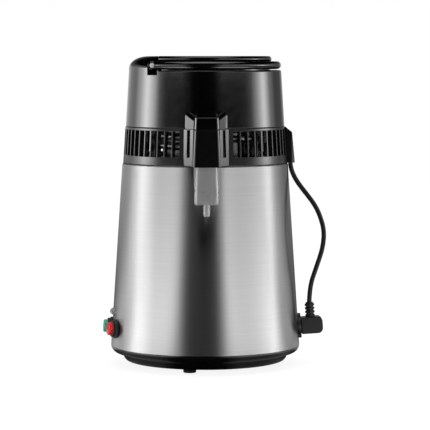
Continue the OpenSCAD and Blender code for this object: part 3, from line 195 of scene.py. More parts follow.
# Dome, fan guard and handle
DECK_Z = 348.6
DECK_R = 90
DECK_EDGE = 2
HUMP_X = 55
HUMP_ROUND = (23, 14.5)
FAN_OPENING_R = 53
GUARD_SEAT_R = 76.5
BRACKET_Z = 325.1
BRACKET_SCREW_COUNT = 3
BRACKET_SCREW_REACH = 57.6
HANDLE_R = 4.65
HANDLE_PATH_R = 85
PIVOT_Y = math.sqrt(HANDLE_PATH_R ** 2 - PIVOT.x ** 2)
EYE_R = 5
EYE_L = 12
EYE_RECESS = 2.5
EYE_SCREW_Z = EYE_L / 2 - EYE_RECESS + 0.3

# Spout's hood: two flanks run from a root in the dome to a neck, given as half a width and a distance
# in front of the axis, and a nose stands before them. The upper half's flanks stand in by the cheek
HOOD_ROOT = (30, 88.5)
HOOD_NECK = (16.2, 105)
HOOD_CHEEK = 2.2
HOOD_DRAFT = 0.88
HOOD_CREST = 2
HOOD_FALL = 2
HOOD_SHOULDER = 4.5
HOOD_NOSE_ROOT = 99.5
HOOD_NOSE_Y = 126
HOOD_NOSE_LOW = 15.9
HOOD_NOSE_HIGH = 13.2
HOOD_NOSE_Z = 297
HOOD_TOP_Z = 301.5
HOOD_CHAMFER = 2
HOOD_WALL = 1.3
HOOD_OVER = 5
HOOD_SLOT_W = 5.8
HOOD_SLOT_SHARE = 0.6
SPOUT_Y = -(CUP_LOW.y + CUP_HIGH.y) / 2
CUP_CORNER = 3.5

# Fittings on the casing. A screw's place is its distance from the fitting's middle and its height
# over the casing
BUTTON_Z = 45.5
RED_TURN = 198
GREEN_TURN = 183.5
LAMP_Z = 64.6
LAMP_TURN = 190
SOCKET_Z = 44.7
SOCKET_SCREW = (10.25, 1.5)
INLET_Z = 50
INLET_SCREW = (20, 3)

# Fan cord, and its route from inside the cord cover to inside the plug's boot
CORD_R = 2.8
CORD_EXIT_X = 101
CORD_ROUTE = [
    (101, 243), (101, 240), (101.7, 234), (104.2, 226), (109, 217),
    (115.5, 208), (122.5, 199), (129, 190), (134, 181), (137.5, 172),
    (140, 163), (141, 154), (140.5, 145), (139, 136), (136.5, 127),
    (133.5, 118), (130.5, 109), (127.5, 100), (125.5, 91), (124.5, 82),
    (124, 73), (124.4, 67),
]

# Camera and overhead lamp, in metres and degrees
CAMERA_PLACE = (-0.0395, -2.5147, 0.365)
CAMERA_TILT = 85.721
CAMERA_TURN = -1.166
OVERHEAD_PLACE = (0, -0.1, 1.9)
OVERHEAD_SIZE = 1.6

# Softboxes' brightness by angle from the camera's side, to the right: level with the dome, and elsewhere.
# A ramp's white stands for FULL
FULL = 10
HORIZON = [
    (-180, 1), (-140, 0.75), (-122, 0.9), (-107, 3.4), (-93, 8.7), (-81, 5.4), (-70, 0.94), (-60, 0.18),
    (-36, 0.09), (-27, 0.065), (-22, 0.05), (-18, 0), (0, 0), (14, 0), (17, 0.02), (20, 0.025), (50, 0.075),
    (60, 0.18), (69, 0.67), (80, 3.3), (92, 7.4), (106, 1.45), (121, 0.3), (143, 0.2), (180, 1),
]
AWAY = [
    (-180, 0.12), (-160, 0.16), (-139, 0.4), (-118, 1.1), (-106, 1), (-93, 0.4), (-82, 1.15), (-72, 2.35),
    (-53, 2.7), (-40, 2.7), (-34, 2.1), (-28, 0.7), (-23, 0.1), (-18, 0.02), (0, 0.015), (10, 0.05),
    (14, 0.22), (20, 1.15), (26, 2.55), (32, 2.35), (45, 2.25), (62, 2.4), (72, 2.3), (82, 1.2), (93, 0.4),
    (106, 0.85), (121, 0.8), (139, 0.3), (160, 0.14), (180, 0.12),
]


def casing_r(height):
    """Outer radius of the casing at a height."""
    return CASING_BOTTOM_R - (height - CASING_Z) * math.tan(CONE)


def ring_r(height):
    """Outer radius of the vent ring at a height."""
    return RING_BOTTOM_R - (RING_BOTTOM_R - RING_TOP_R) * (height - RING_Z) / (SEAM_Z - RING_Z)


def dome_r(height):
    """Outer radius of the dome's side at a height."""
    return DOME_R - (DOME_R - DECK_R) * (height - SEAM_Z) / (DECK_Z - SEAM_Z)


def moved(x, y, z):
    """Move by so many millimetres."""
    return Matrix.Translation(Vector((x, y, z)) * MM)


def on_casing(turn, height):
    """Place of a fitting on the casing: its own +Z points straight out, its +X down the casing."""
    return (Matrix.Rotation(math.radians(turn), 4, "Z") @ moved(casing_r(height), 0, height)
            @ Matrix.Rotation(math.pi / 2 - CONE, 4, "Y"))


# Modelling steps that the operators share

def deselect():
    """Leaves edit mode with nothing selected."""
    if bpy.context.object and bpy.context.object.mode != "OBJECT":
        bpy.ops.object.mode_set(mode="OBJECT")
    bpy.ops.object.select_all(action="DESELECT")


def take(piece):
    """Makes a piece the only one selected."""
    deselect()
    piece.select_set(True)
    bpy.context.view_layer.objects.active = piece
    return piece


def named(name):
    """Names the piece that was just added."""
    piece = bpy.context.object
    piece.name = name
    piece.data.name = name
    return piece


def place(piece, matrix):
    """Turns and moves a piece, and writes its new place into its mesh."""
    take(piece)
    piece.matrix_world = matrix
    bpy.ops.object.transform_apply(location=True, rotation=True, scale=True)
    return piece


def outline(name, points, closed=True):
    """Draws a line through points in millimetres, extruding one vertex after another."""
    deselect()
    bpy.ops.mesh.primitive_plane_add(size=MM, location=(0, 0, 0))
    piece = named(name)
    bpy.ops.object.mode_set(mode="EDIT")
    bpy.ops.mesh.select_mode(type="VERT")
    bpy.ops.mesh.merge(type="CENTER")
    spots = [Vector(p) * MM for p in points]
    bpy.ops.transform.translate(value=spots[0])
    for here, there in zip(spots, spots[1:] + spots[:1] * closed):
        bpy.ops.mesh.extrude_vertices_move(TRANSFORM_OT_translate={"value": there - here})
    bpy.ops.mesh.select_all(action="SELECT")
    bpy.ops.mesh.remove_doubles(threshold=MERGE)
    return piece


def turned(name, profile, steps=144, sweep=360, start=0):
    """Spins a profile of (radius, height) points round Z into a solid. It may end on the axis."""
    first = Matrix.Rotation(math.radians(start), 3, "Z")
    piece = outline(name, [first @ Vector((r, 0, z)) for r, z in profile], profile[0][0] > 0)
    if sweep < 360:
        bpy.ops.mesh.edge_face_add()
    bpy.ops.mesh.spin(steps=steps, angle=-math.radians(sweep), center=(0, 0, 0), axis=(0, 0, 1))
    close(piece)
    return piece


def barrel(name, inner, outer, low, high, steps=32):
    """Upright ring between two heights, solid where its inner radius is 0."""
    return turned(name, [(inner, low), (outer, low), (outer, high), (inner, high)], steps)


def slab(name, points, depth):
    """Fills an outline and extrudes it by a vector in millimetres."""
    piece = outline(name, points)
    bpy.ops.mesh.edge_face_add()
    bpy.ops.mesh.extrude_region_move(TRANSFORM_OT_translate={"value": Vector(depth) * MM})
    close(piece)
    return piece


def close(piece):
    """Merges a piece's seams and poles and points its faces outwards."""
    if piece.mode != "EDIT":
        take(piece)
        bpy.ops.object.mode_set(mode="EDIT")
    bpy.ops.mesh.select_all(action="SELECT")
    bpy.ops.mesh.remove_doubles(threshold=MERGE)
    bpy.ops.mesh.normals_make_consistent(inside=False)
    bpy.ops.object.mode_set(mode="OBJECT")


def rounded(points, steps=5):
    """Outline through points of (x, y) or (x, y, radius), with each radius drawn as an arc."""
    line = []
    for i, point in enumerate(points):
        here = Vector(point[:2])
        if len(point) == 2:
            line.append(here)
            continue
        back = (Vector(points[i - 1][:2]) - here).normalized()
        ahead = (Vector(points[(i + 1) % len(points)][:2]) - here).normalized()
        half = back.angle(ahead) / 2
        reach = point[2] / math.tan(half)
        centre = here + (back + ahead).normalized() * point[2] / math.sin(half)
        first = here + back * reach - centre
        last = here + ahead * reach - centre
        sweep = math.atan2(first.x * last.y - first.y * last.x, first.dot(last))
        line += [centre + Matrix.Rotation(sweep * k / steps, 2) @ first for k in range(steps + 1)]
    return line


def arc(centre, rx, ry, start, end, steps):
    """Points of an elliptical arc, its angles in degrees."""
    turns = [math.radians(start + (end - start) * k / steps) for k in range(steps + 1)]
    return [(centre[0] + rx * math.cos(a), centre[1] + ry * math.sin(a)) for a in turns]


def select(piece, kind, test):
    """Selects the vertices, edges or faces that pass a test on their middle, in millimetres."""
    take(piece)
    bpy.ops.object.mode_set(mode="EDIT")
    bpy.ops.mesh.select_mode(type=kind)
    bpy.ops.mesh.select_all(action="DESELECT")
    shape = bmesh.from_edit_mesh(piece.data)
    items = {"VERT": shape.verts, "EDGE": shape.edges, "FACE": shape.faces}[kind]
    for item in items:
        spots = [item.co] if kind == "VERT" else [v.co for v in item.verts]
        item.select_set(test(item, sum(spots, Vector()) / len(spots) / MM))
    shape.select_flush_mode()
    bmesh.update_edit_mesh(piece.data)


def modified(piece, kind, **settings):
    """Adds a modifier with its settings and applies it."""
    take(piece)
    modifier = piece.modifiers.new(kind.title(), kind)
    for key, value in settings.items():
        setattr(modifier, key, value)
    bpy.ops.object.modifier_apply(modifier=modifier.name)
    return piece


def eased(piece, width, segments=3, angle=35):
    """Rounds a piece's sharp edges by a width in millimetres."""
    return modified(piece, "BEVEL", width=width * MM, segments=segments, limit_method="ANGLE",
                    angle_limit=math.radians(angle), use_clamp_overlap=True, harden_normals=False)


def combined(piece, tool, operation):
    """Joins a piece with a tool, or cuts it with one, and removes the tool."""
    modified(piece, "BOOLEAN", object=tool, operation=operation, solver="MANIFOLD")
    bpy.data.objects.remove(tool)
    return piece


def smoothed(piece, angle=35):
    """Shades a piece smooth, with its flat faces kept flat."""
    take(piece)
    bpy.ops.object.shade_smooth_by_angle(angle=math.radians(angle))
    return modified(piece, "WEIGHTED_NORMAL", keep_sharp=True)


def copied(piece, matrix):
    """Copies a piece with its own mesh and puts the copy in its place."""
    take(piece)
    bpy.ops.object.duplicate()
    return place(bpy.context.object, matrix)


def joined(pieces, name):
    """Joins pieces into one object."""
    take(pieces[0])
    for piece in pieces:
        piece.select_set(True)
    if len(pieces) > 1:
        bpy.ops.object.join()
    return named(name)


def repeated(piece, matrices, name):
    """Copies a piece to each place, removes the first and joins the copies."""
    copies = [copied(piece, matrix) for matrix in matrices]
    bpy.data.objects.remove(piece)
    return joined(copies, name)


def around(count, turn=0, skip=lambda angle: False):
    """Turns round the axis, evenly spaced, apart from those that a test leaves out."""
    angles = [(turn + 360 * k / count) % 360 for k in range(count)]
    return [Matrix.Rotation(math.radians(a), 4, "Z") for a in angles if not skip(a)]


def block(name, low, high):
    """Box between two corners, in millimetres."""
    (x0, y0, z0), (x1, y1, z1) = low, high
    return slab(name, [(x0, y0, z0), (x1, y0, z0), (x1, y1, z0), (x0, y1, z0)], (0, 0, z1 - z0))


def tube(name, points, radius, sides=4):
    """Round tube along points in millimetres, closed at its ends."""
    deselect()
    bpy.ops.curve.primitive_nurbs_path_add()
    piece = named(name)
    line = piece.data
    line.splines.clear()
    path = line.splines.new("POLY")
    path.points.add(len(points) - 1)
    for spot, point in zip(path.points, points):
        spot.co = (*(Vector(point) * MM), 1)
    line.dimensions = "3D"
    line.bevel_depth = radius * MM
    line.bevel_resolution = sides
    line.use_fill_caps = True
    bpy.ops.object.convert(target="MESH")
    piece = named(name)
    close(piece)
    return piece


def eased_copy(node, name, width):
    """Copies a solid's mesh, merges its triangles into faces and rounds its edges."""
    take(frame["nodes"][node])
    bpy.ops.object.duplicate()
    piece = named(name)
    for key in list(piece.keys()):
        del piece[key]
    piece.parent = None
    piece.matrix_world = Matrix()
    piece.data.materials.clear()
    take(piece)
    bpy.ops.object.mode_set(mode="EDIT")
    bpy.ops.mesh.select_all(action="SELECT")
    bpy.ops.mesh.customdata_custom_splitnormals_clear()
    bpy.ops.mesh.remove_doubles(threshold=MERGE)
    bpy.ops.mesh.dissolve_limited(angle_limit=math.radians(0.5))
    bpy.ops.object.mode_set(mode="OBJECT")
    return smoothed(eased(piece, width, segments=2))


def dress(piece, *nodes, towards=None, start=None, end=None):
    """Gives a piece the material of its solids' slot, sets it on their body and hides the solids.

    A piece given towards, a second body, has its place baked into its mesh and goes on no body. start and end
    are not used.
    """
    slot = SLOTS[nodes[0]]
    body = frame["nodes"][nodes[0]]["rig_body"]
    piece.data.materials.clear()
    piece.data.materials.append(finish(slot))
    if towards:
        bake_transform(piece)
    else:
        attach(piece, body)
    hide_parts(*nodes)
    return piece


def coat(*nodes):
    """Gives solids that stay as they are the material of their slot."""
    for node in nodes:
        mesh = frame["nodes"][node].data
        mesh.materials.clear()
        mesh.materials.append(finish(SLOTS[node]))


# Places and built-up shapes

def on_ring(count, reach, turn):
    """Places evenly spaced round the axis, at a distance from it in millimetres."""
    return [spot @ moved(reach, 0, 0) for spot in around(count, turn)]


def foot_places():
    """Places of the feet, at the worktop."""
    return on_ring(FOOT_COUNT, FOOT_REACH, FOOT_TURN)


def tray_screw_places():
    """Places of the base tray's screws, between the feet."""
    return on_ring(FOOT_COUNT, TRAY_SCREW_REACH, TRAY_SCREW_TURN)


def head_screw_places():
    """Places of the screws that join the vent ring and the dome."""
    return on_ring(HEAD_SCREW_COUNT, HEAD_SCREW_REACH, HEAD_SCREW_TURN)


def eye_seat(side):
    """Place of an eye of the handle: its own +Z points out along the pivot."""
    return moved(PIVOT.x, side * PIVOT_Y, PIVOT.z) @ Matrix.Rotation(-side * math.pi / 2, 4, "X")


def lofted(name, floor, rows):
    """Draws a rounded rectangle about the spout's axis through rows of (rise, width, depth)."""
    _, width, depth = rows[0]
    x, y = width / 2, depth / 2
    plan = rounded([(*corner, CUP_CORNER) for corner in ((-x, -y), (x, -y), (x, y), (-x, y))], 6)
    piece = outline(name, [(p[0], p[1] - SPOUT_Y, floor) for p in plan])
    bpy.ops.mesh.edge_face_add()
    for rise, wide, deep in rows[1:]:
        bpy.ops.mesh.extrude_region_move(TRANSFORM_OT_translate={"value": (0, 0, rise * MM)})
        bpy.ops.transform.resize(value=(wide / width, deep / depth, 1),
                                 center_override=(0, -SPOUT_Y * MM, floor * MM))
        width, depth = wide, deep
    close(piece)
    return piece


def hood_flanks(inset, upper):
    """Prism of the hood's flanks, narrower towards its top."""
    root, neck = HOOD_ROOT[0] - inset - upper * HOOD_CHEEK, HOOD_NECK[0] - inset
    back, front, floor = -HOOD_ROOT[1], inset - HOOD_NECK[1], RING_Z - HOOD_OVER
    flanks = slab("Flanks", [(-root, back, floor), (-neck, front, floor), (neck, front, floor),
                             (root, back, floor)], (0, 0, HOOD_TOP_Z + HOOD_OVER - floor))
    select(flanks, "VERT", lambda vertex, spot: spot.z > HOOD_TOP_Z)
    bpy.ops.transform.resize(value=(HOOD_DRAFT, 1, 1), center_override=(0, 0, HOOD_TOP_Z * MM))
    bpy.ops.object.mode_set(mode="OBJECT")
    return flanks


def hood_nose(inset):
    """Prism of the hood's nose, narrower up to the front edge of its top."""
    wide, slim = HOOD_NOSE_LOW - inset, HOOD_NOSE_HIGH - inset
    low, high = RING_Z - HOOD_OVER, HOOD_TOP_Z + HOOD_OVER
    wide += HOOD_OVER * (wide - slim) / (HOOD_NOSE_Z - RING_Z)
    face = [(-wide, low), (wide, low), (slim, HOOD_NOSE_Z), (slim, high), (-slim, high), (-slim, HOOD_NOSE_Z)]
    return slab("Nose", [(x, -HOOD_NOSE_ROOT, z) for x, z in face],
                (0, HOOD_NOSE_ROOT - HOOD_NOSE_Y + inset, 0))


def hood_mouth():
    """Opening in the lower half's floor, which the spout cup stands in."""
    wide, slim = HOOD_NOSE_LOW - HOOD_WALL, HOOD_NOSE_HIGH - HOOD_WALL
    low, high = RING_Z - 1, SEAM_Z + HOOD_OVER
    return slab("Mouth", [(x, -HOOD_NOSE_ROOT, z) for x, z in (
        (-wide, low), (wide, low), (slim, high), (-slim, high))],
                (0, HOOD_NOSE_ROOT - HOOD_NOSE_Y + HOOD_WALL, 0))


def hood_brow(edge, spot):
    """Whether an edge bounds the hood's sloping top."""
    gentle, steep = 0.7, 0.5
    slopes = [face.normal.z for face in edge.link_faces]
    return spot.z > SEAM_Z + HOOD_OVER and max(slopes) > gentle and min(slopes) < steep


def hood_shoulder(edge, spot):
    """Whether an edge lies between a flank and the sloping top."""
    return hood_brow(edge, spot) and max(abs(face.normal.x) for face in edge.link_faces) > 0.5


def nose_edge(edge, spot):
    """Whether an edge bounds the nose's top, or stands upright at its front."""
    ends = [v.co / MM for v in edge.verts]
    upright = max(end.y for end in ends) < FIT - HOOD_NOSE_Y and abs(ends[0].z - ends[1].z) > HOOD_OVER
    return upright or hood_brow(edge, spot)


def hood_half(low, high, inset, ease=0):
    """Flanks and nose between two heights, or up to the hood's top, with their edges eased."""
    upper = high > HOOD_NOSE_Z
    flanks, nose = hood_flanks(inset, upper), hood_nose(inset)
    lap = 2 if inset else 0
    back, front = -80, -HOOD_NOSE_Y - HOOD_OVER
    for prism, end_y, end_z, crest_y, test, size, steps in (
            (flanks, HOOD_NECK[1], HOOD_NOSE_Z - HOOD_FALL, HOOD_ROOT[1] + HOOD_CREST, hood_shoulder,
             HOOD_SHOULDER, 6),
            (nose, HOOD_NOSE_Y, HOOD_NOSE_Z, DOME_R, nose_edge, HOOD_CHAMFER, 1)):
        side = [(back, low - lap), (front, low - lap)]
        if upper:
            side += [(front, end_z - inset), (-end_y, end_z - inset), (-crest_y, HOOD_TOP_Z - inset),
                     (back, HOOD_TOP_Z - inset)]
        else:
            side += [(front, high + lap), (back, high + lap)]
        combined(prism, slab("Side", [(-FAR, *p) for p in side], (2 * FAR, 0, 0)), "INTERSECT")
        if ease and (upper or prism == nose):
            select(prism, "EDGE", test)
            bpy.ops.mesh.bevel(offset=size * MM, segments=steps, affect="EDGES")
            bpy.ops.object.mode_set(mode="OBJECT")
        if ease:
            eased(prism, ease, angle=25)
    return combined(flanks, nose, "UNION")


def hood_shell(name, low, high, keep_low, keep_high, shape):
    """Hollow half of the spout's hood between two heights, outside a cone of two radii."""
    shell = hood_half(low, high, 0, shape.edge / MM)
    shell.name = name
    inside = hood_half(low, high, HOOD_WALL)
    if low == RING_Z:
        combined(inside, block("Above", (-FAR, -FAR, low + HOOD_WALL), (FAR, 0, FAR)), "INTERSECT")
        combined(inside, hood_mouth(), "UNION")
    combined(shell, inside, "DIFFERENCE")
    cone = turned("Cone", [(0, low - 2), (keep_low, low - 2), (keep_high, high + 2), (0, high + 2)], 180)
    return combined(shell, cone, "DIFFERENCE")


# Materials

def linear(code):
    """Linear colour of an sRGB hex value."""
    parts = [int(code[k:k + 2], 16) / 255 for k in (1, 3, 5)]
    return [p / 12.92 if p <= 0.04045 else ((p + 0.055) / 1.055) ** 2.4 for p in parts] + [1]


def add_node(tree, kind, values=None, links=None, **settings):
    """Adds a node with its settings, its values and the outputs linked to its inputs."""
    node = tree.nodes.new(kind)
    for key, value in settings.items():
        setattr(node, key, value)
    for key, value in (values or {}).items():
        node.inputs[key].default_value = value
    for key, output in (links or {}).items():
        tree.links.new(output, node.inputs[key])
    return node


def per_mm(size):
    """Texture scale of a pattern whose marks are that many millimetres across."""
    return 1 / (size * MM)


def start_material(name, **values):
    """New material with a Principled shader, and its Object coordinates."""
    material = bpy.data.materials.new(name)
    material.use_nodes = True
    tree = material.node_tree
    shader = tree.nodes["Principled BSDF"]
    for key, value in values.items():
        shader.inputs[key.replace("_", " ")].default_value = value
    spot = add_node(tree, "ShaderNodeTexCoord").outputs["Object"]
    return material, tree, shader, spot


def brushed_steel():
    """Stainless sheet, ground round the casing: fine level lines, smeared upright reflections."""
    look = bpy.context.scene.distiller_finish
    material, tree, shader, spot = start_material(
        "Stainless steel, brushed", Metallic=1, Roughness=0.36, Anisotropic=1,
        Anisotropic_Rotation=0.25)
    # Lines of about 0.3 mm, drawn 1.2 mm high so that they show in the render
    stretch = add_node(tree, "ShaderNodeMapping", {"Scale": (8, 8, per_mm(1.2))}, {"Vector": spot})
    lines = add_node(tree, "ShaderNodeTexNoise", {"Scale": 1, "Detail": 4, "Roughness": 0.6},
                     {"Vector": stretch.outputs[0]})
    rough = add_node(tree, "ShaderNodeMapRange", {"To Min": 0.32, "To Max": 0.40},
                     {"Value": lines.outputs["Fac"]})
    shade = add_node(tree, "ShaderNodeMix", {6: look.steel_dark, 7: look.steel},
                     {0: lines.outputs["Fac"]}, data_type="RGBA")
    along = add_node(tree, "ShaderNodeTangent", direction_type="RADIAL", axis="Z")
    tree.links.new(rough.outputs[0], shader.inputs["Roughness"])
    tree.links.new(shade.outputs[2], shader.inputs["Base Color"])
    tree.links.new(along.outputs[0], shader.inputs["Tangent"])
    return material


def drawn_steel():
    """Stainless sheet, deep drawn and bright: upright draw marks, cleaner reflections, colours darkened as
    painted shade.
    """
    material, tree, shader, spot = start_material(
        "Stainless steel, drawn", Metallic=1, Roughness=0.36)
    # Draw marks of about 1.5 mm, long in height
    stretch = add_node(tree, "ShaderNodeMapping", {"Scale": (per_mm(1.5), per_mm(1.5), 12)},
                       {"Vector": spot})
    marks = add_node(tree, "ShaderNodeTexNoise", {"Scale": 1, "Detail": 3}, {"Vector": stretch.outputs[0]})
    rough = add_node(tree, "ShaderNodeMapRange", {"To Min": 0.30, "To Max": 0.42},
                     {"Value": marks.outputs["Fac"]})
    # Both colours sit well below bright steel: painted shade for the coil and pan deep inside the head
    shade = add_node(tree, "ShaderNodeMix", {6: linear("#767777"), 7: linear("#8C8C8A")},
                     {0: marks.outputs["Fac"]}, data_type="RGBA")
    tree.links.new(rough.outputs[0], shader.inputs["Roughness"])
    tree.links.new(shade.outputs[2], shader.inputs["Base Color"])
    return material


def black_plastic(name, shade, grain_mm, detail, rough, strength, depth, **values):
    """Black plastic whose gloss and relief vary with a grain, the gloss between two roughnesses."""
    material, tree, shader, spot = start_material(name, Base_Color=shade, **values)
    grain = add_node(tree, "ShaderNodeTexNoise", {"Scale": per_mm(grain_mm), "Detail": detail},
                     {"Vector": spot})
    gloss = add_node(tree, "ShaderNodeMapRange", {"To Min": rough[0], "To Max": rough[1]},
                     {"Value": grain.outputs["Fac"]})
    relief = add_node(tree, "ShaderNodeBump", {"Strength": strength, "Distance": depth * MM},
                      {"Height": grain.outputs["Fac"]})
    tree.links.new(gloss.outputs[0], shader.inputs["Roughness"])
    tree.links.new(relief.outputs[0], shader.inputs["Normal"])
    return material


def gloss_black_abs():
    """ABS from a polished mould: deep black with clear reflections and a faint waviness."""
    look = bpy.context.scene.distiller_finish
    return black_plastic("ABS, polished black", look.gloss_black, 9, 1, (0.10, 0.17), 0.15, 0.02,
                         Roughness=0.13, Specular_IOR_Level=0.8)


def satin_black_abs():
    """ABS from a lightly eroded mould: black with soft highlights and a fine grain."""
    look = bpy.context.scene.distiller_finish
    # Grain of about 0.2 mm, drawn 0.8 mm across so that it shows
    return black_plastic("ABS, satin black", look.satin_black, 0.8, 3, (0.16, 0.22), 0.25, 0.03,
                         Roughness=0.19, Specular_IOR_Level=0.6)


def mottled(name, dark, light, grain_mm, low, high, depth, **values):
    """Plain moulded, plated or cast surface: a fine mottle in its colour, gloss and relief."""
    material, tree, shader, spot = start_material(name, **values)
    grain = add_node(tree, "ShaderNodeTexNoise", {"Scale": per_mm(grain_mm), "Detail": 4}, {"Vector": spot})
    rough = add_node(tree, "ShaderNodeMapRange", {"To Min": low, "To Max": high},
                     {"Value": grain.outputs["Fac"]})
    shade = add_node(tree, "ShaderNodeMix", {6: dark, 7: light},
                     {0: grain.outputs["Fac"]}, data_type="RGBA")
    relief = add_node(tree, "ShaderNodeBump", {"Strength": 0.4, "Distance": depth * MM},
                      {"Height": grain.outputs["Fac"]})
    tree.links.new(rough.outputs[0], shader.inputs["Roughness"])
    tree.links.new(shade.outputs[2], shader.inputs["Base Color"])
    tree.links.new(relief.outputs[0], shader.inputs["Normal"])
    return material


def black_nylon():
    """Glass-filled nylon: slightly grey, dull, with a fine fibre mottle."""
    return mottled("Nylon, moulded black", linear("#0E0E0F"), linear("#171718"), 0.7, 0.38, 0.52, 0.03)


def black_rubber():
    """Moulded rubber: dull dark grey with a dusty mottle."""
    return mottled("Rubber, moulded black", linear("#131313"), linear("#1F1F1E"), 1.1, 0.62, 0.8, 0.06)


def black_pvc():
    """Soft PVC, extruded: black with a broad satin sheen."""
    return mottled("PVC, soft black", linear("#060606"), linear("#0A0A0A"), 1.6, 0.3, 0.42, 0.03,
                   Specular_IOR_Level=0.3)


def zinc_screws():
    """Zinc-plated steel: bright grey with a faint bloom, its near-white colour a painted reflection of the
    plating's shine.
    """
    # Near-white diffuse colour with little metal stands in for the plating's bright reflections: painted
    # reflection
    return mottled("Steel, zinc plated", linear("#E2E3E4"), linear("#F2F3F3"), 0.8, 0.34, 0.48, 0.01,
                   Metallic=0.15)


def spring_steel():
    """Drawn spring wire and ground shaft: dark bright metal."""
    return mottled("Spring steel, drawn", linear("#7F8184"), linear("#9A9C9E"), 0.5, 0.2, 0.32, 0.005,
                   Metallic=1)


def nickel_brass():
    """Nickel-plated brass: a warm pale metal."""
    return mottled("Brass, nickel plated", linear("#BDB08A"), linear("#D2C8A8"), 0.7, 0.2, 0.3, 0.005,
                   Metallic=1)


def aluminium_plate():
    """Rolled aluminium plate: pale, with soft reflections."""
    return mottled("Aluminium, rolled", linear("#B4B7B9"), linear("#CACCCD"), 2.2, 0.36, 0.5, 0.02,
                   Metallic=1)


def element_sheath():
    """Heater sheath, blued by heat: dull brown-grey metal."""
    return mottled("Steel, heat tinted", linear("#4A4541"), linear("#6B645C"), 3.0, 0.42, 0.6, 0.03,
                   Metallic=1)


def thermal_switch_body():
    """Pressed ceramic: matt cream with fine specks."""
    return mottled("Ceramic, pressed", linear("#CDBF9F"), linear("#DED3B8"), 0.6, 0.6, 0.75, 0.03)


def switch_nut():
    """Grey nylon nut."""
    return mottled("Nylon, moulded grey", linear("#5F6264"), linear("#6E7173"), 0.8, 0.42, 0.55, 0.03)


def red_cap():
    """Polycarbonate cap moulded in red: glossy, with a little depth of colour."""
    look = bpy.context.scene.distiller_finish
    return mottled("Polycarbonate, red", look.red_dark, look.red, 2.5, 0.2, 0.28, 0.01)


def green_cap():
    """Polycarbonate cap moulded in green: glossy, with a little depth of colour."""
    look = bpy.context.scene.distiller_finish
    return mottled("Polycarbonate, green", look.green_dark, look.green, 2.5, 0.2, 0.28, 0.01)


def lamp_metal():
    """Chromed bezel: bright, a little worn."""
    return mottled("Brass, chromed", linear("#8E9092"), linear("#B2B4B5"), 0.9, 0.16, 0.28, 0.005,
                   Metallic=1)


def lamp_lens():
    """Clear polycarbonate lens with a smoky tint."""
    return mottled("Polycarbonate, clear", linear("#C9C8C4"), linear("#DCDBD7"), 1.5, 0.06, 0.12, 0.01,
                   Transmission_Weight=0.75, IOR=1.58)


def white_silicone():
    """Silicone seal: milky white and soft to the eye."""
    return mottled("Silicone, white", linear("#DAD7D0"), linear("#EAE8E2"), 1.4, 0.42, 0.55, 0.02)


def motor_enamel():
    """Stoved enamel on a motor's can: dark grey satin."""
    return mottled("Enamel, stoved grey", linear("#3A3D40"), linear("#484C4F"), 1.5, 0.35, 0.48, 0.03)


def frosted_white_pp():
    """Natural polypropylene, moulded: milky and translucent, clearer where it is thin."""
    look = bpy.context.scene.distiller_finish
    return mottled("Polypropylene, natural", look.cup_shade, look.cup, 3.0, 0.24, 0.34, 0.01,
                   Transmission_Weight=0.9, IOR=1.49)


def filter_fleece():
    """Spun-bonded fleece over charcoal grains: grey, fuzzy and matt."""
    return mottled("Fleece, spun bonded", linear("#6F6F6D"), linear("#8F8F8C"), 0.6, 0.85, 1.0, 0.15,
                   Sheen_Weight=0.3)


FINISHES = (
    brushed_steel, drawn_steel, gloss_black_abs, satin_black_abs, black_nylon, black_rubber, black_pvc,
    zinc_screws, spring_steel, nickel_brass, aluminium_plate, element_sheath, thermal_switch_body,
    switch_nut, red_cap, green_cap, lamp_metal, lamp_lens, white_silicone, motor_enamel,
    frosted_white_pp, filter_fleece,
)
made_finishes = {}


def finish(slot):
    """Material of a slot, made the first time it is asked for."""
    if slot not in made_finishes:
        made_finishes[slot] = next(f for f in FINISHES if f.__name__ == slot)()
    return made_finishes[slot]


# Settings

def colour(name, code, words):
    """Colour setting, its default given as an sRGB hex value."""
    return bpy.props.FloatVectorProperty(
        name=name, description=words, default=linear(code), size=4, min=0, max=1, subtype="COLOR")


def length(name, size, words):
    """Length setting, its default given in millimetres."""
    return bpy.props.FloatProperty(
        name=name, description=words, default=size * MM, min=0, unit="LENGTH", subtype="DISTANCE")


class DistillerShape(bpy.types.PropertyGroup):
    """Sizes of the visual model that the solids leave plain."""

    edge: length("Edge", 0.8, "Rounding of the mouldings' outer edges")
    fine_edge: length("Fine edge", 0.4, "Rounding of small fittings' edges")
    rim_round: length("Rim round", 2.5, "Rounding inside the boiling chamber's rim")
    cross_w: length("Cross width", 0.9, "Width of a screw's cross recess")
    cross_depth: length("Cross depth", 1.1, "Depth of a screw's cross recess")
    rib_count: bpy.props.IntProperty(
        name="Boot ribs", description="Ribs on the plug's boot", default=4, min=2, max=8)


class DistillerFinish(bpy.types.PropertyGroup):
    """Colours of the main materials."""

    steel: colour("Steel", "#C6C6C6", "Brushed steel, the lighter lines")
    steel_dark: colour("Steel lines", "#B4B4B4", "Brushed steel, the darker lines")
    gloss_black: colour("Gloss black", "#040405", "Polished black plastic of the dome")
    satin_black: colour("Satin black", "#09090A", "Satin black plastic of the base and vent ring")
    red: colour("Red", "#EE161A", "Red button")
    red_dark: colour("Red depth", "#D81016", "Red button, where it is darker")
    green: colour("Green", "#2CC596", "Green button")
    green_dark: colour("Green depth", "#22AF84", "Green button, where it is darker")
    cup: colour("Cup", "#F4F4F4", "Natural plastic of the spout cup")
    cup_shade: colour("Cup shade", "#E8E8E8", "Natural plastic, where it is denser")


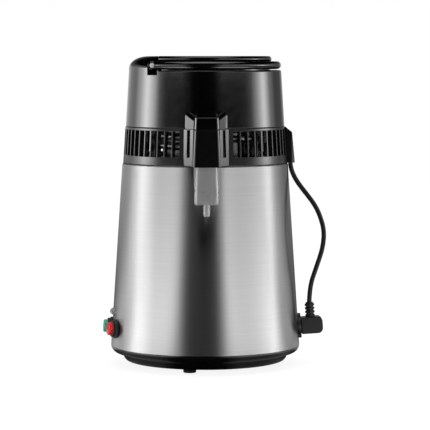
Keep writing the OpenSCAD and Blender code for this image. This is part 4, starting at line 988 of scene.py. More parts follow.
class DistillerStage(bpy.types.PropertyGroup):
    """Camera and light."""

    lens: bpy.props.FloatProperty(
        name="Lens", description="Focal length on a 36 mm sensor", default=177.9, min=20,
        unit="CAMERA", subtype="DISTANCE_CAMERA")
    ambient: bpy.props.FloatProperty(
        name="Ambient", description="Strength of the white room's light on the object", default=0.65, min=0)
    overhead: bpy.props.FloatProperty(
        name="Overhead", description="Power of the lamp above, in watts", default=12, min=0,
        unit="POWER")
    reflections: bpy.props.FloatProperty(
        name="Reflections", description="Strength of the softboxes that only reflections show",
        default=10, min=0)


# Operators, one for each piece or group

class DISTILLER_OT_stage(bpy.types.Operator):
    """Sets the camera, the floor, the room and its light."""

    bl_idname = "distiller.stage"
    bl_label = "Stage"

    def execute(self, context):
        """Builds the studio."""
        look = context.scene.distiller_stage
        scene = context.scene
        scene.view_settings.view_transform = "Standard"
        deselect()
        bpy.ops.object.camera_add(
            location=CAMERA_PLACE, rotation=(math.radians(CAMERA_TILT), 0, math.radians(CAMERA_TURN)))
        camera = named("Camera")
        camera.data.lens = look.lens
        camera.data.clip_end = 50
        scene.camera = camera
        self.room(scene, look)
        self.floor()
        self.overhead(look)
        self.softboxes(look)
        return {"FINISHED"}

    def seen(self, tree):
        """Output that is 1 for rays from the camera, off glossy faces or through clear ones, else 0."""
        path = add_node(tree, "ShaderNodeLightPath")
        rays = path.outputs["Is Camera Ray"]
        for kind in ("Is Glossy Ray", "Is Transmission Ray"):
            rays = add_node(tree, "ShaderNodeMath", None, {0: rays, 1: path.outputs[kind]},
                            operation="ADD", use_clamp=True).outputs[0]
        return rays

    def room(self, scene, look):
        """White room: as white as paper where it is seen, dimmer where it only lights."""
        world = bpy.data.worlds.new("White room")
        world.use_nodes = True
        scene.world = world
        tree = world.node_tree
        strength = add_node(tree, "ShaderNodeMapRange", {"To Min": look.ambient, "To Max": 1},
                            {"Value": self.seen(tree)})
        sky = tree.nodes["Background"]
        sky.inputs["Color"].default_value = (1, 1, 1, 1)
        tree.links.new(strength.outputs[0], sky.inputs["Strength"])

    def floor(self):
        """Pale floor that melts into the room and keeps the object's shadow."""
        side, share, white = 40, 0.8, 1.12
        bpy.ops.mesh.primitive_plane_add(size=side, location=(0, 0, 0))
        floor = named("Floor")
        material, tree, shader, _ = start_material(
            "Paper, white", Base_Color=linear("#F4F4F4"), Roughness=0.9, Specular_IOR_Level=0)
        part = add_node(tree, "ShaderNodeMath", {1: share}, {0: self.seen(tree)}, operation="MULTIPLY")
        glow = add_node(tree, "ShaderNodeEmission", {"Color": (1, 1, 1, 1), "Strength": white})
        blend = add_node(tree, "ShaderNodeMixShader", None,
                         {0: part.outputs[0], 1: shader.outputs[0], 2: glow.outputs[0]})
        tree.links.new(blend.outputs[0], tree.nodes["Material Output"].inputs["Surface"])
        floor.data.materials.append(material)

    def overhead(self, look):
        """Broad lamp above the object."""
        deselect()
        bpy.ops.object.light_add(type="AREA", location=OVERHEAD_PLACE)
        lamp = named("Overhead")
        lamp.data.size = OVERHEAD_SIZE
        lamp.data.energy = look.overhead
        lamp.visible_camera = False

    def softboxes(self, look):
        """Shell of softboxes that only reflections show: dark in front, bright at both sides."""
        low, high, hole_r, wall_r, roof_r = 0.5, 2600, 60, 1500, 350
        line = [(hole_r, 0, low), (wall_r, 0, low), (wall_r, 0, high), (roof_r, 0, high)]
        shell = outline("Softboxes", line, False)
        bpy.ops.mesh.spin(steps=72, angle=2 * math.pi, center=(0, 0, 0), axis=(0, 0, 1))
        close(shell)
        shell.visible_camera = shell.visible_diffuse = False
        shell.visible_shadow = shell.visible_transmission = False
        shell.data.materials.append(self.cloth(look))

    def cloth(self, look):
        """Softboxes' light: set by the angle, and less high up, near the object and far out on the floor."""
        dome_z, band, height = 0.38, (0.13, 0.19), (0.55, 1.05)
        near_r, near_share = (0.12, 0.2), 0.08
        far_r, far_share, off_floor = (0.35, 0.7), 0.1, -40
        material = bpy.data.materials.new("Softbox cloth")
        material.use_nodes = True
        tree = material.node_tree
        spot = add_node(tree, "ShaderNodeNewGeometry").outputs["Position"]
        axes = add_node(tree, "ShaderNodeSeparateXYZ", None, {0: spot})
        front = add_node(tree, "ShaderNodeMath", {1: -1}, {0: axes.outputs["Y"]}, operation="MULTIPLY")
        turn = add_node(tree, "ShaderNodeMath", None, {0: axes.outputs["X"], 1: front.outputs[0]},
                        operation="ARCTAN2")
        turn = add_node(tree, "ShaderNodeMapRange", {"From Min": -math.pi, "From Max": math.pi},
                        {"Value": turn.outputs[0]})
        above = add_node(tree, "ShaderNodeMath", {1: dome_z}, {0: axes.outputs["Z"]}, operation="SUBTRACT")
        above = add_node(tree, "ShaderNodeMath", None, {0: above.outputs[0]}, operation="ABSOLUTE")
        level = add_node(tree, "ShaderNodeMapRange", {"From Min": band[0], "From Max": band[1]},
                         {"Value": above.outputs[0]}, interpolation_type="SMOOTHSTEP")
        ramps = []
        for stops in (HORIZON, AWAY):
            ramp = add_node(tree, "ShaderNodeValToRGB", None, {0: turn.outputs[0]})
            stages = ramp.color_ramp.elements
            for angle, _ in stops[1:-1]:
                stages.new((angle + 180) / 360)
            for stage, (_, value) in zip(stages, stops):
                stage.color = [value / FULL] * 3 + [1]
            ramps.append(ramp)
        shade = add_node(tree, "ShaderNodeMix", None,
                         {0: level.outputs[0], 6: ramps[0].outputs[0], 7: ramps[1].outputs[0]},
                         data_type="RGBA")
        light = add_node(tree, "ShaderNodeMapRange",
                         {"From Min": height[0], "From Max": height[1],
                          "To Min": look.reflections, "To Max": 0},
                         {"Value": axes.outputs["Z"]}, interpolation_type="SMOOTHSTEP")
        flat = add_node(tree, "ShaderNodeVectorMath", {1: (1, 1, 0)}, {0: spot}, operation="MULTIPLY")
        reach = add_node(tree, "ShaderNodeVectorMath", None, {0: flat.outputs[0]}, operation="LENGTH")
        near = add_node(tree, "ShaderNodeMapRange",
                        {"From Min": near_r[0], "From Max": near_r[1], "To Min": near_share},
                        {"Value": reach.outputs["Value"]}, interpolation_type="SMOOTHSTEP")
        # Up the wall this falls below zero at once, so that only the floor is dimmed
        far = add_node(tree, "ShaderNodeMath", {1: off_floor},
                       {0: axes.outputs["Z"], 2: reach.outputs["Value"]}, operation="MULTIPLY_ADD")
        far = add_node(tree, "ShaderNodeMapRange",
                       {"From Min": far_r[0], "From Max": far_r[1], "To Min": 1, "To Max": far_share},
                       {"Value": far.outputs[0]}, interpolation_type="SMOOTHSTEP")
        for part in (near, far):
            light = add_node(tree, "ShaderNodeMath", None, {0: light.outputs[0], 1: part.outputs[0]},
                             operation="MULTIPLY")
        glow = add_node(tree, "ShaderNodeEmission", None,
                        {"Color": shade.outputs[2], "Strength": light.outputs[0]})
        tree.links.new(glow.outputs[0], tree.nodes["Material Output"].inputs["Surface"])
        return material


class DISTILLER_OT_fan_lead(bpy.types.Operator):
    """Models the fan's cord, its plug, and the cover and bush that it leaves the head by."""

    bl_idname = "distiller.fan_lead"
    bl_label = "Fan lead"

    def execute(self, context):
        """Lays the cord and models its fittings."""
        shape = context.scene.distiller_shape
        plug = self.plug(shape)
        cord, path = self.lay(context)
        # The cord is dressed towards the plug: its place is baked into its mesh and it goes on no body
        (x, z), (end_x, end_z) = CORD_ROUTE[1], CORD_ROUTE[-3]
        dress(cord, "fan_cord", towards="plug", start=(x * MM, 0, z * MM), end=(end_x * MM, 0, end_z * MM))
        self.cover(shape)
        return {"FINISHED"}

    def lay(self, context):
        """Draws the cord's curve along its route. Gives its mesh and the points of the curve."""
        steps = 8
        deselect()
        bpy.ops.curve.primitive_bezier_curve_add()
        line = named("Fan_cord").data
        line.splines.clear()
        run = line.splines.new("BEZIER")
        run.bezier_points.add(len(CORD_ROUTE) - 1)
        for knot, (x, z) in zip(run.bezier_points, CORD_ROUTE):
            knot.co = Vector((x, 0, z)) * MM
            knot.handle_left_type = knot.handle_right_type = "AUTO"
        line.dimensions = "3D"
        line.resolution_u = steps
        line.bevel_depth = CORD_R * MM
        line.bevel_resolution = 6
        line.use_fill_caps = True
        context.view_layer.update()
        knots = run.bezier_points[:]
        path = [knots[0].co.copy()]
        for a, b in zip(knots, knots[1:]):
            path += interpolate_bezier(a.co, a.handle_right, b.handle_left, b.co, steps + 1)[1:]
        bpy.ops.object.convert(target="MESH")
        cord = named("Fan_cord")
        close(cord)
        return smoothed(cord), path

    def plug(self, shape):
        """Right-angled plug with a ribbed boot, modelled facing along +Z."""
        face, height, width, depth = 3.8, 20, 17, 25.5
        reach, tail, root_r, rib_r, groove_r, rib_share = 15.2, 17, 4.5, 5.7, 4.4, 0.62
        x, end, bore_r = height / 2, face + depth, CORD_R + 0.3
        side = rounded([(-x, face, 1), (x, face, 1), (x, end, 6), (-x, end, 6)])
        body = slab("Fan_plug", [(p[0], -width / 2, p[1]) for p in side], (0, width, 0))
        eased(body, 1.2)
        step = tail / shape.rib_count
        profile = [(bore_r, -1), (root_r, -1)]
        for k in range(shape.rib_count):
            low, high = k * step, (k + rib_share) * step
            profile += [(rib_r, low, 0.4), (rib_r, high, 0.4), (groove_r, high), (groove_r, low + step)]
        boot = turned("Boot", rounded(profile + [(bore_r, tail)], 3), 48)
        place(boot, moved(-x, 0, reach) @ Matrix.Rotation(-math.pi / 2, 4, "Y"))
        plug = smoothed(joined([body, boot], "Fan_plug"))
        place(plug, on_casing(0, SOCKET_Z))
        return dress(plug, "fan_plug")

    def cover(self, shape):
        """Small housing on the vent ring, hollow, with a bush in its floor."""
        low_r, high_r, root = RING_BOTTOM_R + 8.8, RING_TOP_R + 7.9, RING_TOP_R - WALL
        half, wall, brow, corner, hole_r = 13, 1.6, 6.5, 4, 3.6
        bush_r, bush_h = CORD_R + 0.7, 3
        side = [(root, RING_Z), (low_r, RING_Z), (high_r, SEAM_Z - brow, 2), (RING_TOP_R, SEAM_Z),
                (root, SEAM_Z)]
        cover = slab("Cord_cover", [(p[0], -half, p[1]) for p in rounded(side)], (0, 2 * half, 0))
        plan = rounded([(root - 2, -half), (low_r, -half, corner), (low_r, half, corner), (root - 2, half)])
        plan = slab("Plan", [(*p, RING_Z - 1) for p in plan], (0, 0, SEAM_Z - RING_Z + 2))
        combined(cover, plan, "INTERSECT")
        eased(cover, shape.edge / MM, angle=50)
        inner = [(root, RING_Z + wall), (low_r - wall, RING_Z + wall), (high_r - wall, SEAM_Z - brow - wall),
                 (RING_TOP_R, SEAM_Z - wall), (root, SEAM_Z - wall)]
        inside = slab("Inside", [(p[0], wall - half, p[1]) for p in inner], (0, 2 * (half - wall), 0))
        combined(cover, inside, "DIFFERENCE")
        cone = turned("Ring", [(0, RING_Z - 1), (RING_BOTTOM_R + FIT, RING_Z - 1),
                               (RING_TOP_R + FIT, SEAM_Z + 1), (0, SEAM_Z + 1)])
        combined(cover, cone, "DIFFERENCE")
        hole = barrel("Hole", 0, hole_r, RING_Z - 1, RING_Z + 4, 48)
        combined(cover, place(hole, moved(CORD_EXIT_X, 0, 0)), "DIFFERENCE")
        dress(smoothed(cover), "cord_cover")
        profile = rounded([(CORD_R + FIT, RING_Z), (bush_r, RING_Z, 0.25), (bush_r, RING_Z + bush_h),
                           (CORD_R + FIT, RING_Z + bush_h)], 3)
        bush = place(turned("Cord_bush", profile, 48), moved(CORD_EXIT_X, 0, 0))
        dress(smoothed(bush), "cord_bush")


class DISTILLER_OT_casing(bpy.types.Operator):
    """Finishes the steel casing, and models the boiling chamber in it."""

    bl_idname = "distiller.casing"
    bl_label = "Casing and chamber"

    def execute(self, context):
        """Spins the deep drawn pan from its profile."""
        coat("outer_casing")
        rim_round = context.scene.distiller_shape.rim_round / MM
        wall, corner = 1, 10
        out, rim_z = corner + wall, CHAMBER_TOP_Z - wall
        middle = (CHAMBER_R - corner, CHAMBER_FLOOR_Z + wall + corner)
        profile = [(0, CHAMBER_FLOOR_Z)] + arc(middle, out, out, -90, 0, 10)
        profile += [(CHAMBER_R + wall, rim_z, 1.5), (CHAMBER_RIM_R, rim_z, 0.35),
                    (CHAMBER_RIM_R, CHAMBER_TOP_Z, 0.45), (CHAMBER_R, CHAMBER_TOP_Z, rim_round)]
        profile += arc(middle, corner, corner, 0, -90, 10) + [(0, CHAMBER_FLOOR_Z + wall)]
        pan = turned("Boiling_chamber", rounded(profile))
        dress(smoothed(pan, 50), "boiling_chamber")
        return {"FINISHED"}


class DISTILLER_OT_base(bpy.types.Operator):
    """Models the base lip, the tray under it and the rubber feet."""

    bl_idname = "distiller.base"
    bl_label = "Base"

    def execute(self, context):
        """Spins each piece from its profile."""
        self.lip()
        self.tray()
        self.feet()
        return {"FINISHED"}

    def lip(self):
        """Rounded lip with a low wall that the casing stands round."""
        clear, flange = 1.1, 18
        high = CASING_Z + LOCATE_H
        locate_r, flange_r = casing_r(high) - clear, TRAY_TOP_R - flange
        under = (CASING_BOTTOM_R - LIP_ROUND, CASING_Z)
        profile = [(flange_r, LIP_Z)] + arc(under, LIP_ROUND, CASING_Z - LIP_Z, -90, -6, 12)
        profile += [(CASING_BOTTOM_R - 0.25, CASING_Z - 0.3), (CASING_BOTTOM_R - 0.8, CASING_Z)]
        profile += [(locate_r, CASING_Z), (locate_r, high), (locate_r - WALL, high),
                    (locate_r - WALL, LIP_Z + WALL), (flange_r, LIP_Z + WALL)]
        dress(smoothed(turned("Base_lip", profile, 180)), "base_ring")

    def tray(self):
        """Shallow tray, its screws sunk into bosses."""
        boss_r, mouth_r, sunk_r, sunk_z = 5.5, 3.8, SCREW_HEAD_R + FIT, TRAY_Z + 3
        bend = TRAY_TOP_R - TRAY_BOTTOM_R
        profile = [(0, TRAY_Z)] + arc((TRAY_BOTTOM_R, LIP_Z), bend, LIP_Z - TRAY_Z, -90, 0, 12)
        profile += [(TRAY_TOP_R - WALL, LIP_Z), (TRAY_BOTTOM_R - WALL, TRAY_Z + WALL), (0, TRAY_Z + WALL)]
        tray = turned("Base_tray", profile, 180)
        boss = barrel("Boss", 0, boss_r, TRAY_Z + 0.5, LIP_Z)
        combined(tray, repeated(boss, tray_screw_places(), "Bosses"), "UNION")
        sunk = turned("Recess", [(0, TRAY_Z - 1), (mouth_r, TRAY_Z - 1), (sunk_r, TRAY_Z + 0.4),
                                 (sunk_r, sunk_z), (SCREW_HOLE_R, sunk_z), (SCREW_HOLE_R, LIP_Z + 1),
                                 (0, LIP_Z + 1)], 32)
        combined(tray, repeated(sunk, tray_screw_places(), "Recesses"), "DIFFERENCE")
        dress(smoothed(tray), "base_tray")

    def feet(self):
        """Rubber feet, bored for their screws."""
        foot_r, high, sunk_r = 7.5, 5, SCREW_HEAD_R + FIT
        profile = rounded([(sunk_r, 0, 0.4), (foot_r, 0, 1), (foot_r, high), (SCREW_HOLE_R, high),
                           (SCREW_HOLE_R, FOOT_FLOOR), (sunk_r, FOOT_FLOOR)])
        foot = smoothed(turned("Foot", profile, 48))
        dress(repeated(foot, foot_places(), "Rubber_feet"), "rubber_feet")


class DISTILLER_OT_vent_ring(bpy.types.Operator):
    """Models the slotted collar of the head: two bands, fins and the pillars inside."""

    bl_idname = "distiller.vent_ring"
    bl_label = "Vent ring"

    def execute(self, context):
        """Spins the bands, models one fin and copies it round."""
        foot, head = SLOT_Z - 1, SLOT_TOP_Z + 1
        sill_r, foot_r, top_r, head_r = ring_r(SLOT_Z), ring_r(foot), ring_r(SLOT_TOP_Z), ring_r(head)
        low = rounded([(RING_BOTTOM_R - WALL, RING_Z), (RING_BOTTOM_R, RING_Z, 0.6), (sill_r, SLOT_Z, 0.6),
                       (sill_r - FIN_DEPTH, SLOT_Z), (foot_r - FIN_DEPTH, foot), (foot_r - WALL, foot)])
        high = rounded([(RING_TOP_R, SEAM_Z, 0.5), (RING_TOP_R - FIN_DEPTH, SEAM_Z),
                        (top_r - FIN_DEPTH, SLOT_TOP_Z), (top_r, SLOT_TOP_Z, 0.5)])
        parts = [turned("Band", low, 224), turned("Band", high, 224), self.fins()]
        opening = (SLOT_PITCH - math.degrees(FIN_T / RING_TOP_R)) / 2
        window = math.degrees(math.asin(HOOD_NOSE_LOW / RING_TOP_R))
        hood_edge, cover_edge = HOOD_CLOSED * SLOT_PITCH - opening, COVER_CLOSED * SLOT_PITCH - opening
        wall = [(foot_r, foot), (head_r, head), (head_r - FIN_DEPTH, head), (foot_r - FIN_DEPTH, foot)]
        for start, sweep in ((FRONT - hood_edge, hood_edge - window), (FRONT + window, hood_edge - window),
                             (-cover_edge, 2 * cover_edge)):
            parts.append(turned("Wall", wall, 16, sweep, start))
        parts.append(self.pillars())
        dress(smoothed(joined(parts, "Vent_ring")), "vent_ring")
        return {"FINISHED"}

    def pillars(self):
        """Pillars that the dome's screws go through, with webs to the two bands."""
        low_reach, high_reach = 13, 10
        pillar = barrel("Pillar", 0, BOSS_R, PILLAR_Z, SEAM_Z)
        low = block("Web", (0, -WEB_T / 2, PILLAR_Z), (low_reach, WEB_T / 2, SLOT_Z))
        high = block("Web", (0, -WEB_T / 2, SLOT_TOP_Z + 0.5), (high_reach, WEB_T / 2, SEAM_Z))
        return repeated(joined([pillar, low, high], "Pillar"), head_screw_places(), "Pillars")

    def fins(self):
        """One fin, narrower inwards and rounded outside, copied to the places between open slots."""
        low, high = SLOT_Z - 0.5, SLOT_TOP_Z + 0.5
        out = ring_r(low)
        thin = FIN_T / 2 - FIN_DEPTH * math.pi / SLOT_COUNT
        plan = rounded([(out - FIN_DEPTH, -thin), (out, -FIN_T / 2, 0.7), (out, FIN_T / 2, 0.7),
                        (out - FIN_DEPTH, thin)], 4)
        fin = slab("Fin", [(*p, low) for p in plan], (ring_r(high) - out, 0, high - low))

        def closed(angle):
            """Whether an angle lies where the hood or the cord cover closes the ring."""
            return (abs(angle - FRONT) < HOOD_CLOSED * SLOT_PITCH - FIT
                    or min(angle, 360 - angle) < COVER_CLOSED * SLOT_PITCH - FIT)

        return repeated(fin, around(SLOT_COUNT, 0, closed), "Fins")


class DISTILLER_OT_spout_hood(bpy.types.Operator):
    """Models the lower half of the spout's hood."""

    bl_idname = "distiller.spout_hood"
    bl_label = "Spout hood"

    def execute(self, context):
        """Builds the hollow hood and cuts a slot in each flank."""
        shape = context.scene.distiller_shape
        hood = hood_shell("Spout_hood", RING_Z, SEAM_Z, RING_BOTTOM_R + FIT, RING_TOP_R + FIT, shape)
        run = Vector(HOOD_NECK) - Vector(HOOD_ROOT)
        turn = math.atan2(-run.x, run.y)
        spot = Vector(HOOD_ROOT) + HOOD_SLOT_SHARE * run
        spot.x *= (1 + HOOD_DRAFT) / 2
        depth, half = 3, HOOD_SLOT_W / 2
        for side in (-1, 1):
            slot = block("Slot", (-depth, -half, SLOT_Z), (depth, half, SEAM_Z - 1))
            place(slot, moved(side * spot.x, -spot.y, 0) @ Matrix.Rotation(-side * turn, 4, "Z"))
            combined(hood, slot, "DIFFERENCE")
        dress(smoothed(hood), "spout_hood")
        return {"FINISHED"}


class DISTILLER_OT_dome(bpy.types.Operator):
    """Models the glossy dome with its deck, hump, notches and the upper half of the hood."""

    bl_idname = "distiller.dome"
    bl_label = "Dome"

    def execute(self, context):
        """Spins the hump's profile, cuts the deck into it and hollows it."""
        shape = context.scene.distiller_shape
        profile = [(0, SEAM_Z), (DOME_R - 1, SEAM_Z), (DOME_R - 0.3, SEAM_Z + 0.35), (DOME_R, SEAM_Z + 1.2)]
        profile += arc((DECK_R - DECK_EDGE, DECK_Z - DECK_EDGE), DECK_EDGE, DECK_EDGE, 0, 90, 6)
        dome = turned("Dome", profile + [(0, DECK_Z)], 180)
        combined(dome, self.hump(), "UNION")
        beside, below, slack = 0.3, 6.3, 0.75
        notch_y = PIVOT_Y - EYE_L / 2 - beside
        notch_z = PIVOT.z - EYE_R - below
        half = EYE_R + slack
        self.hollow(dome, notch_y, notch_z, half)
        for side in (-1, 1):
            near, far = sorted((side * notch_y, side * FAR))
            notch = block("Notch", (PIVOT.x - half, near, notch_z), (PIVOT.x + half, far, FAR))
            combined(dome, notch, "DIFFERENCE")
            mouth = block("Mouth", (PIVOT.x, near, DECK_Z), (-HUMP_X + 1, far, FAR))
            combined(dome, mouth, "DIFFERENCE")
        fan = barrel("Opening", 0, FAN_OPENING_R, DECK_Z - 2 * WALL, DECK_Z + WALL, 144)
        combined(dome, fan, "DIFFERENCE")
        seat = barrel("Seat", GUARD_SEAT_R - WALL, GUARD_SEAT_R, DECK_Z - WALL, GUARD_Z, 144)
        combined(seat, block("Beyond", (-FAR, -FAR, 0), (-HUMP_X - 1, FAR, FAR)), "DIFFERENCE")
        combined(dome, seat, "UNION")
        keep_low, keep_high = dome_r(SEAM_Z) - WALL / 2, dome_r(HOOD_TOP_Z) - WALL / 2
        hood = hood_shell("Hood", SEAM_Z, HOOD_TOP_Z, keep_low, keep_high, shape)
        combined(dome, hood, "UNION")
        dome = smoothed(joined([dome] + self.posts(notch_y), "Dome"), 30)
        dress(dome, "head_dome")
        return {"FINISHED"}

    def hump(self):
        """Hump at the back of the deck, its front edge rounded."""
        side, low, edge = DECK_R - 0.02, DECK_Z - 4, 1.2
        crown = (side - HUMP_ROUND[0], TOP_Z - HUMP_ROUND[1])
        profile = [(0, low), (side, low)] + arc(crown, *HUMP_ROUND, 0, 90, 14) + [(0, TOP_Z)]
        hump = turned("Hump", profile, 180)
        combined(hump, block("Deck", (-HUMP_X, -FAR, 0), (FAR, FAR, FAR)), "DIFFERENCE")
        select(hump, "EDGE", lambda edge, spot: spot.z > DECK_Z
               and all(abs(v.co.x / MM + HUMP_X) < LEVEL for v in edge.verts))
        bpy.ops.mesh.bevel(offset=edge * MM, segments=4, affect="EDGES")
        return hump

    def hollow(self, dome, notch_y, notch_z, half):
        """Takes out the inside, leaving walls round the notches."""
        inner = turned("Inside", [(0, SEAM_Z - 1), (DOME_R - WALL, SEAM_Z - 1),
                                  (dome_r(DECK_Z) - WALL, DECK_Z - WALL), (0, DECK_Z - WALL)])
        crown = (DECK_R - HUMP_ROUND[0], TOP_Z - HUMP_ROUND[1])
        bend = (HUMP_ROUND[0] - WALL, HUMP_ROUND[1] - WALL)
        cap = turned("Cap", [(0, DECK_Z - 2 * WALL), (DECK_R - WALL, DECK_Z - 2 * WALL)]
                     + arc(crown, *bend, 0, 90, 10) + [(0, TOP_Z - WALL)])
        combined(cap, block("Beyond", (-HUMP_X - WALL, -FAR, 0), (FAR, FAR, FAR)), "DIFFERENCE")
        combined(inner, cap, "UNION")
        half += WALL
        for side in (-1, 1):
            near, far = sorted((side * (notch_y - WALL), side * FAR))
            wall = block("Wall", (PIVOT.x - half, near, notch_z - WALL), (PIVOT.x + half, far, FAR))
            combined(inner, wall, "DIFFERENCE")
        combined(dome, inner, "DIFFERENCE")

    def posts(self, notch_y):
        """Posts for the fan's bracket, bosses for the head's screws and for the handle's pivots."""
        boss_z, web_reach, bore_r, peg_root, peg_l = SEAM_Z + 18, (2, 9.2), 2.1, -2, 12
        post = barrel("Post", SCREW_HOLE_R, BOSS_R, BRACKET_Z, DECK_Z - WALL / 2)
        posts = repeated(post, on_ring(BRACKET_SCREW_COUNT, BRACKET_SCREW_REACH, 0), "Posts")
        boss = barrel("Boss", SCREW_HOLE_R, BOSS_R, SEAM_Z, boss_z)
        web = block("Web", (web_reach[0], -WEB_T / 2, SEAM_Z), (web_reach[1], WEB_T / 2, boss_z))
        bosses = repeated(joined([boss, web], "Boss"), head_screw_places(), "Bosses")
        peg = barrel("Peg", bore_r, EYE_R, peg_root, peg_l)
        pegs = repeated(peg, [moved(PIVOT.x, side * notch_y, PIVOT.z)
                              @ Matrix.Rotation(side * math.pi / 2, 4, "X") for side in (-1, 1)], "Pegs")
        return [posts, bosses, pegs]


class DISTILLER_OT_fan_guard(bpy.types.Operator):
    """Models the fan guard: a rounded rim, rings, spokes and a hub."""

    bl_idname = "distiller.fan_guard"
    bl_label = "Fan guard"

    def execute(self, context):
        """Spins the rim and the rings, and copies one spoke round."""
        fine = context.scene.distiller_shape.fine_edge / MM
        bar, plate, pitch, hub, spoke_count, gap = 2.2, 3, 6.5, 14, 8, 0.3
        half = (TOP_Z - GUARD_Z) / 2
        inner, low = GUARD_SEAT_R - WALL, TOP_Z - plate
        profile = [(inner, GUARD_Z)] + arc((GUARD_R - half, GUARD_Z + half), half, half, -90, 90, 14)
        profile += [(FAN_OPENING_R, TOP_Z, fine), (FAN_OPENING_R, low, fine), (inner, low)]
        rim = turned("Rim", rounded(profile, 3), 180)
        combined(rim, block("Beyond", (-FAR, -FAR, 0), (gap - HUMP_X, FAR, FAR)), "DIFFERENCE")
        parts = [rim]
        for k in range(1, int((FAN_OPENING_R - hub) / pitch) + 1):
            out = hub + k * pitch
            ring = rounded([(out - bar, low, fine), (out, low, fine), (out, TOP_Z, fine),
                            (out - bar, TOP_Z, fine)], 3)
            parts.append(turned("Ring", ring, 120))
        spoke = eased(block("Spoke", (hub / 2, -bar / 2, low), (FAN_OPENING_R + 1, bar / 2, TOP_Z)), fine)
        parts.append(repeated(spoke, around(spoke_count), "Spokes"))
        boss = rounded([(0, low), (hub, low, fine), (hub, TOP_Z, 0.8), (0, TOP_Z)], 4)
        parts.append(turned("Hub", boss, 64))
        dress(smoothed(joined(parts, "Fan_guard")), "fan_guard")
        return {"FINISHED"}


class DISTILLER_OT_handle(bpy.types.Operator):
    """Models the carrying handle: a rod bent round the dome, with an eye at each end."""

    bl_idname = "distiller.handle"
    bl_label = "Handle"

    def execute(self, context):
        """Spins the rod, joins the eyes and bores them."""
        sides = 24
        swing = 180 - math.degrees(math.acos(-PIVOT.x / HANDLE_PATH_R))
        circle = arc((HANDLE_PATH_R, PIVOT.z), HANDLE_R, HANDLE_R, 0, 360 - 360 / sides, sides - 1)
        rod = turned("Handle", circle, 132, 2 * swing, -swing)
        half, bore_r, sunk_r, past = EYE_L / 2, 2.05, 3.5, 20
        sunk = half - EYE_RECESS
        for side in (-1, 1):
            eye = turned("Eye", rounded([(0, -half), (EYE_R, -half, 0.8), (EYE_R, half, 0.8), (0, half)]), 48)
            combined(rod, place(eye, eye_seat(side)), "UNION")
            bore = turned("Bore", [(0, -past), (bore_r, -past), (bore_r, sunk), (sunk_r, sunk),
                                   (sunk_r, past), (0, past)], 48)
            combined(rod, place(bore, eye_seat(side)), "DIFFERENCE")
        dress(smoothed(rod), "carry_handle")
        return {"FINISHED"}


class DISTILLER_OT_spout(bpy.types.Operator):
    """Models the translucent spout cup with its drip tip, and the filter pod in it."""

    bl_idname = "distiller.spout"
    bl_label = "Spout cup"

    def execute(self, context):
        """Draws the cup upwards and back down inside, then joins and bores the tip."""
        fine = context.scene.distiller_shape.fine_edge / MM
        wall, edge, taper, depth, step = 1.6, 1.5, 1.4, 19.6, 1.2
        tip_l, tip_r, end_r, bore_r, gap = 13, 3.7, 3.1, 2.3, 0.3
        width = CUP_HIGH.x - CUP_LOW.x
        low = width - taper
        floor, shoulder = CUP_LOW.z + tip_l, RING_Z - gap
        collar = (COLLAR_W, depth - step)
        inner = (collar[0] - 2 * wall, collar[1] - 2 * wall)
        cup = lofted("Spout_cup", floor, [
            (0, low - edge, depth - edge), (edge, low, depth), (shoulder - floor - edge, width, depth),
            (0, *collar), (CUP_HIGH.z - shoulder, *collar), (0, *inner), (shoulder - CUP_HIGH.z, *inner),
            (floor + wall + edge - shoulder, low - 2 * wall, depth - 2 * wall),
            (-edge, low - 2 * wall - edge, depth - 2 * wall - edge)])
        eased(cup, fine)
        tip = turned("Tip", [(0, floor + 0.5), (tip_r, floor + 0.5), (tip_r, CUP_LOW.z + 0.6),
                             (end_r, CUP_LOW.z), (0, CUP_LOW.z)], 48)
        combined(cup, place(tip, moved(0, -SPOUT_Y, 0)), "UNION")
        bore = barrel("Bore", 0, bore_r, CUP_LOW.z - 1, floor + wall + 1, 48)
        combined(cup, place(bore, moved(0, -SPOUT_Y, 0)), "DIFFERENCE")
        dress(smoothed(cup), "spout_cup")
        self.pod()
        return {"FINISHED"}

    def pod(self):
        """Soft pod, full in the middle and drawn in at its sealed ends."""
        steps, end_share, swell = 14, 0.72, 0.45
        size = POD_HIGH - POD_LOW
        rows = []
        for k in range(steps + 1):
            full = min(1, end_share + (1 - end_share) * math.sin(math.pi * k / steps) ** swell)
            rows.append((size.z / steps if k else 0, size.x * full, size.y * full))
        pod = smoothed(eased(lofted("Charcoal_filter", POD_LOW.z, rows), 1.2), 60)
        dress(pod, "charcoal_filter")


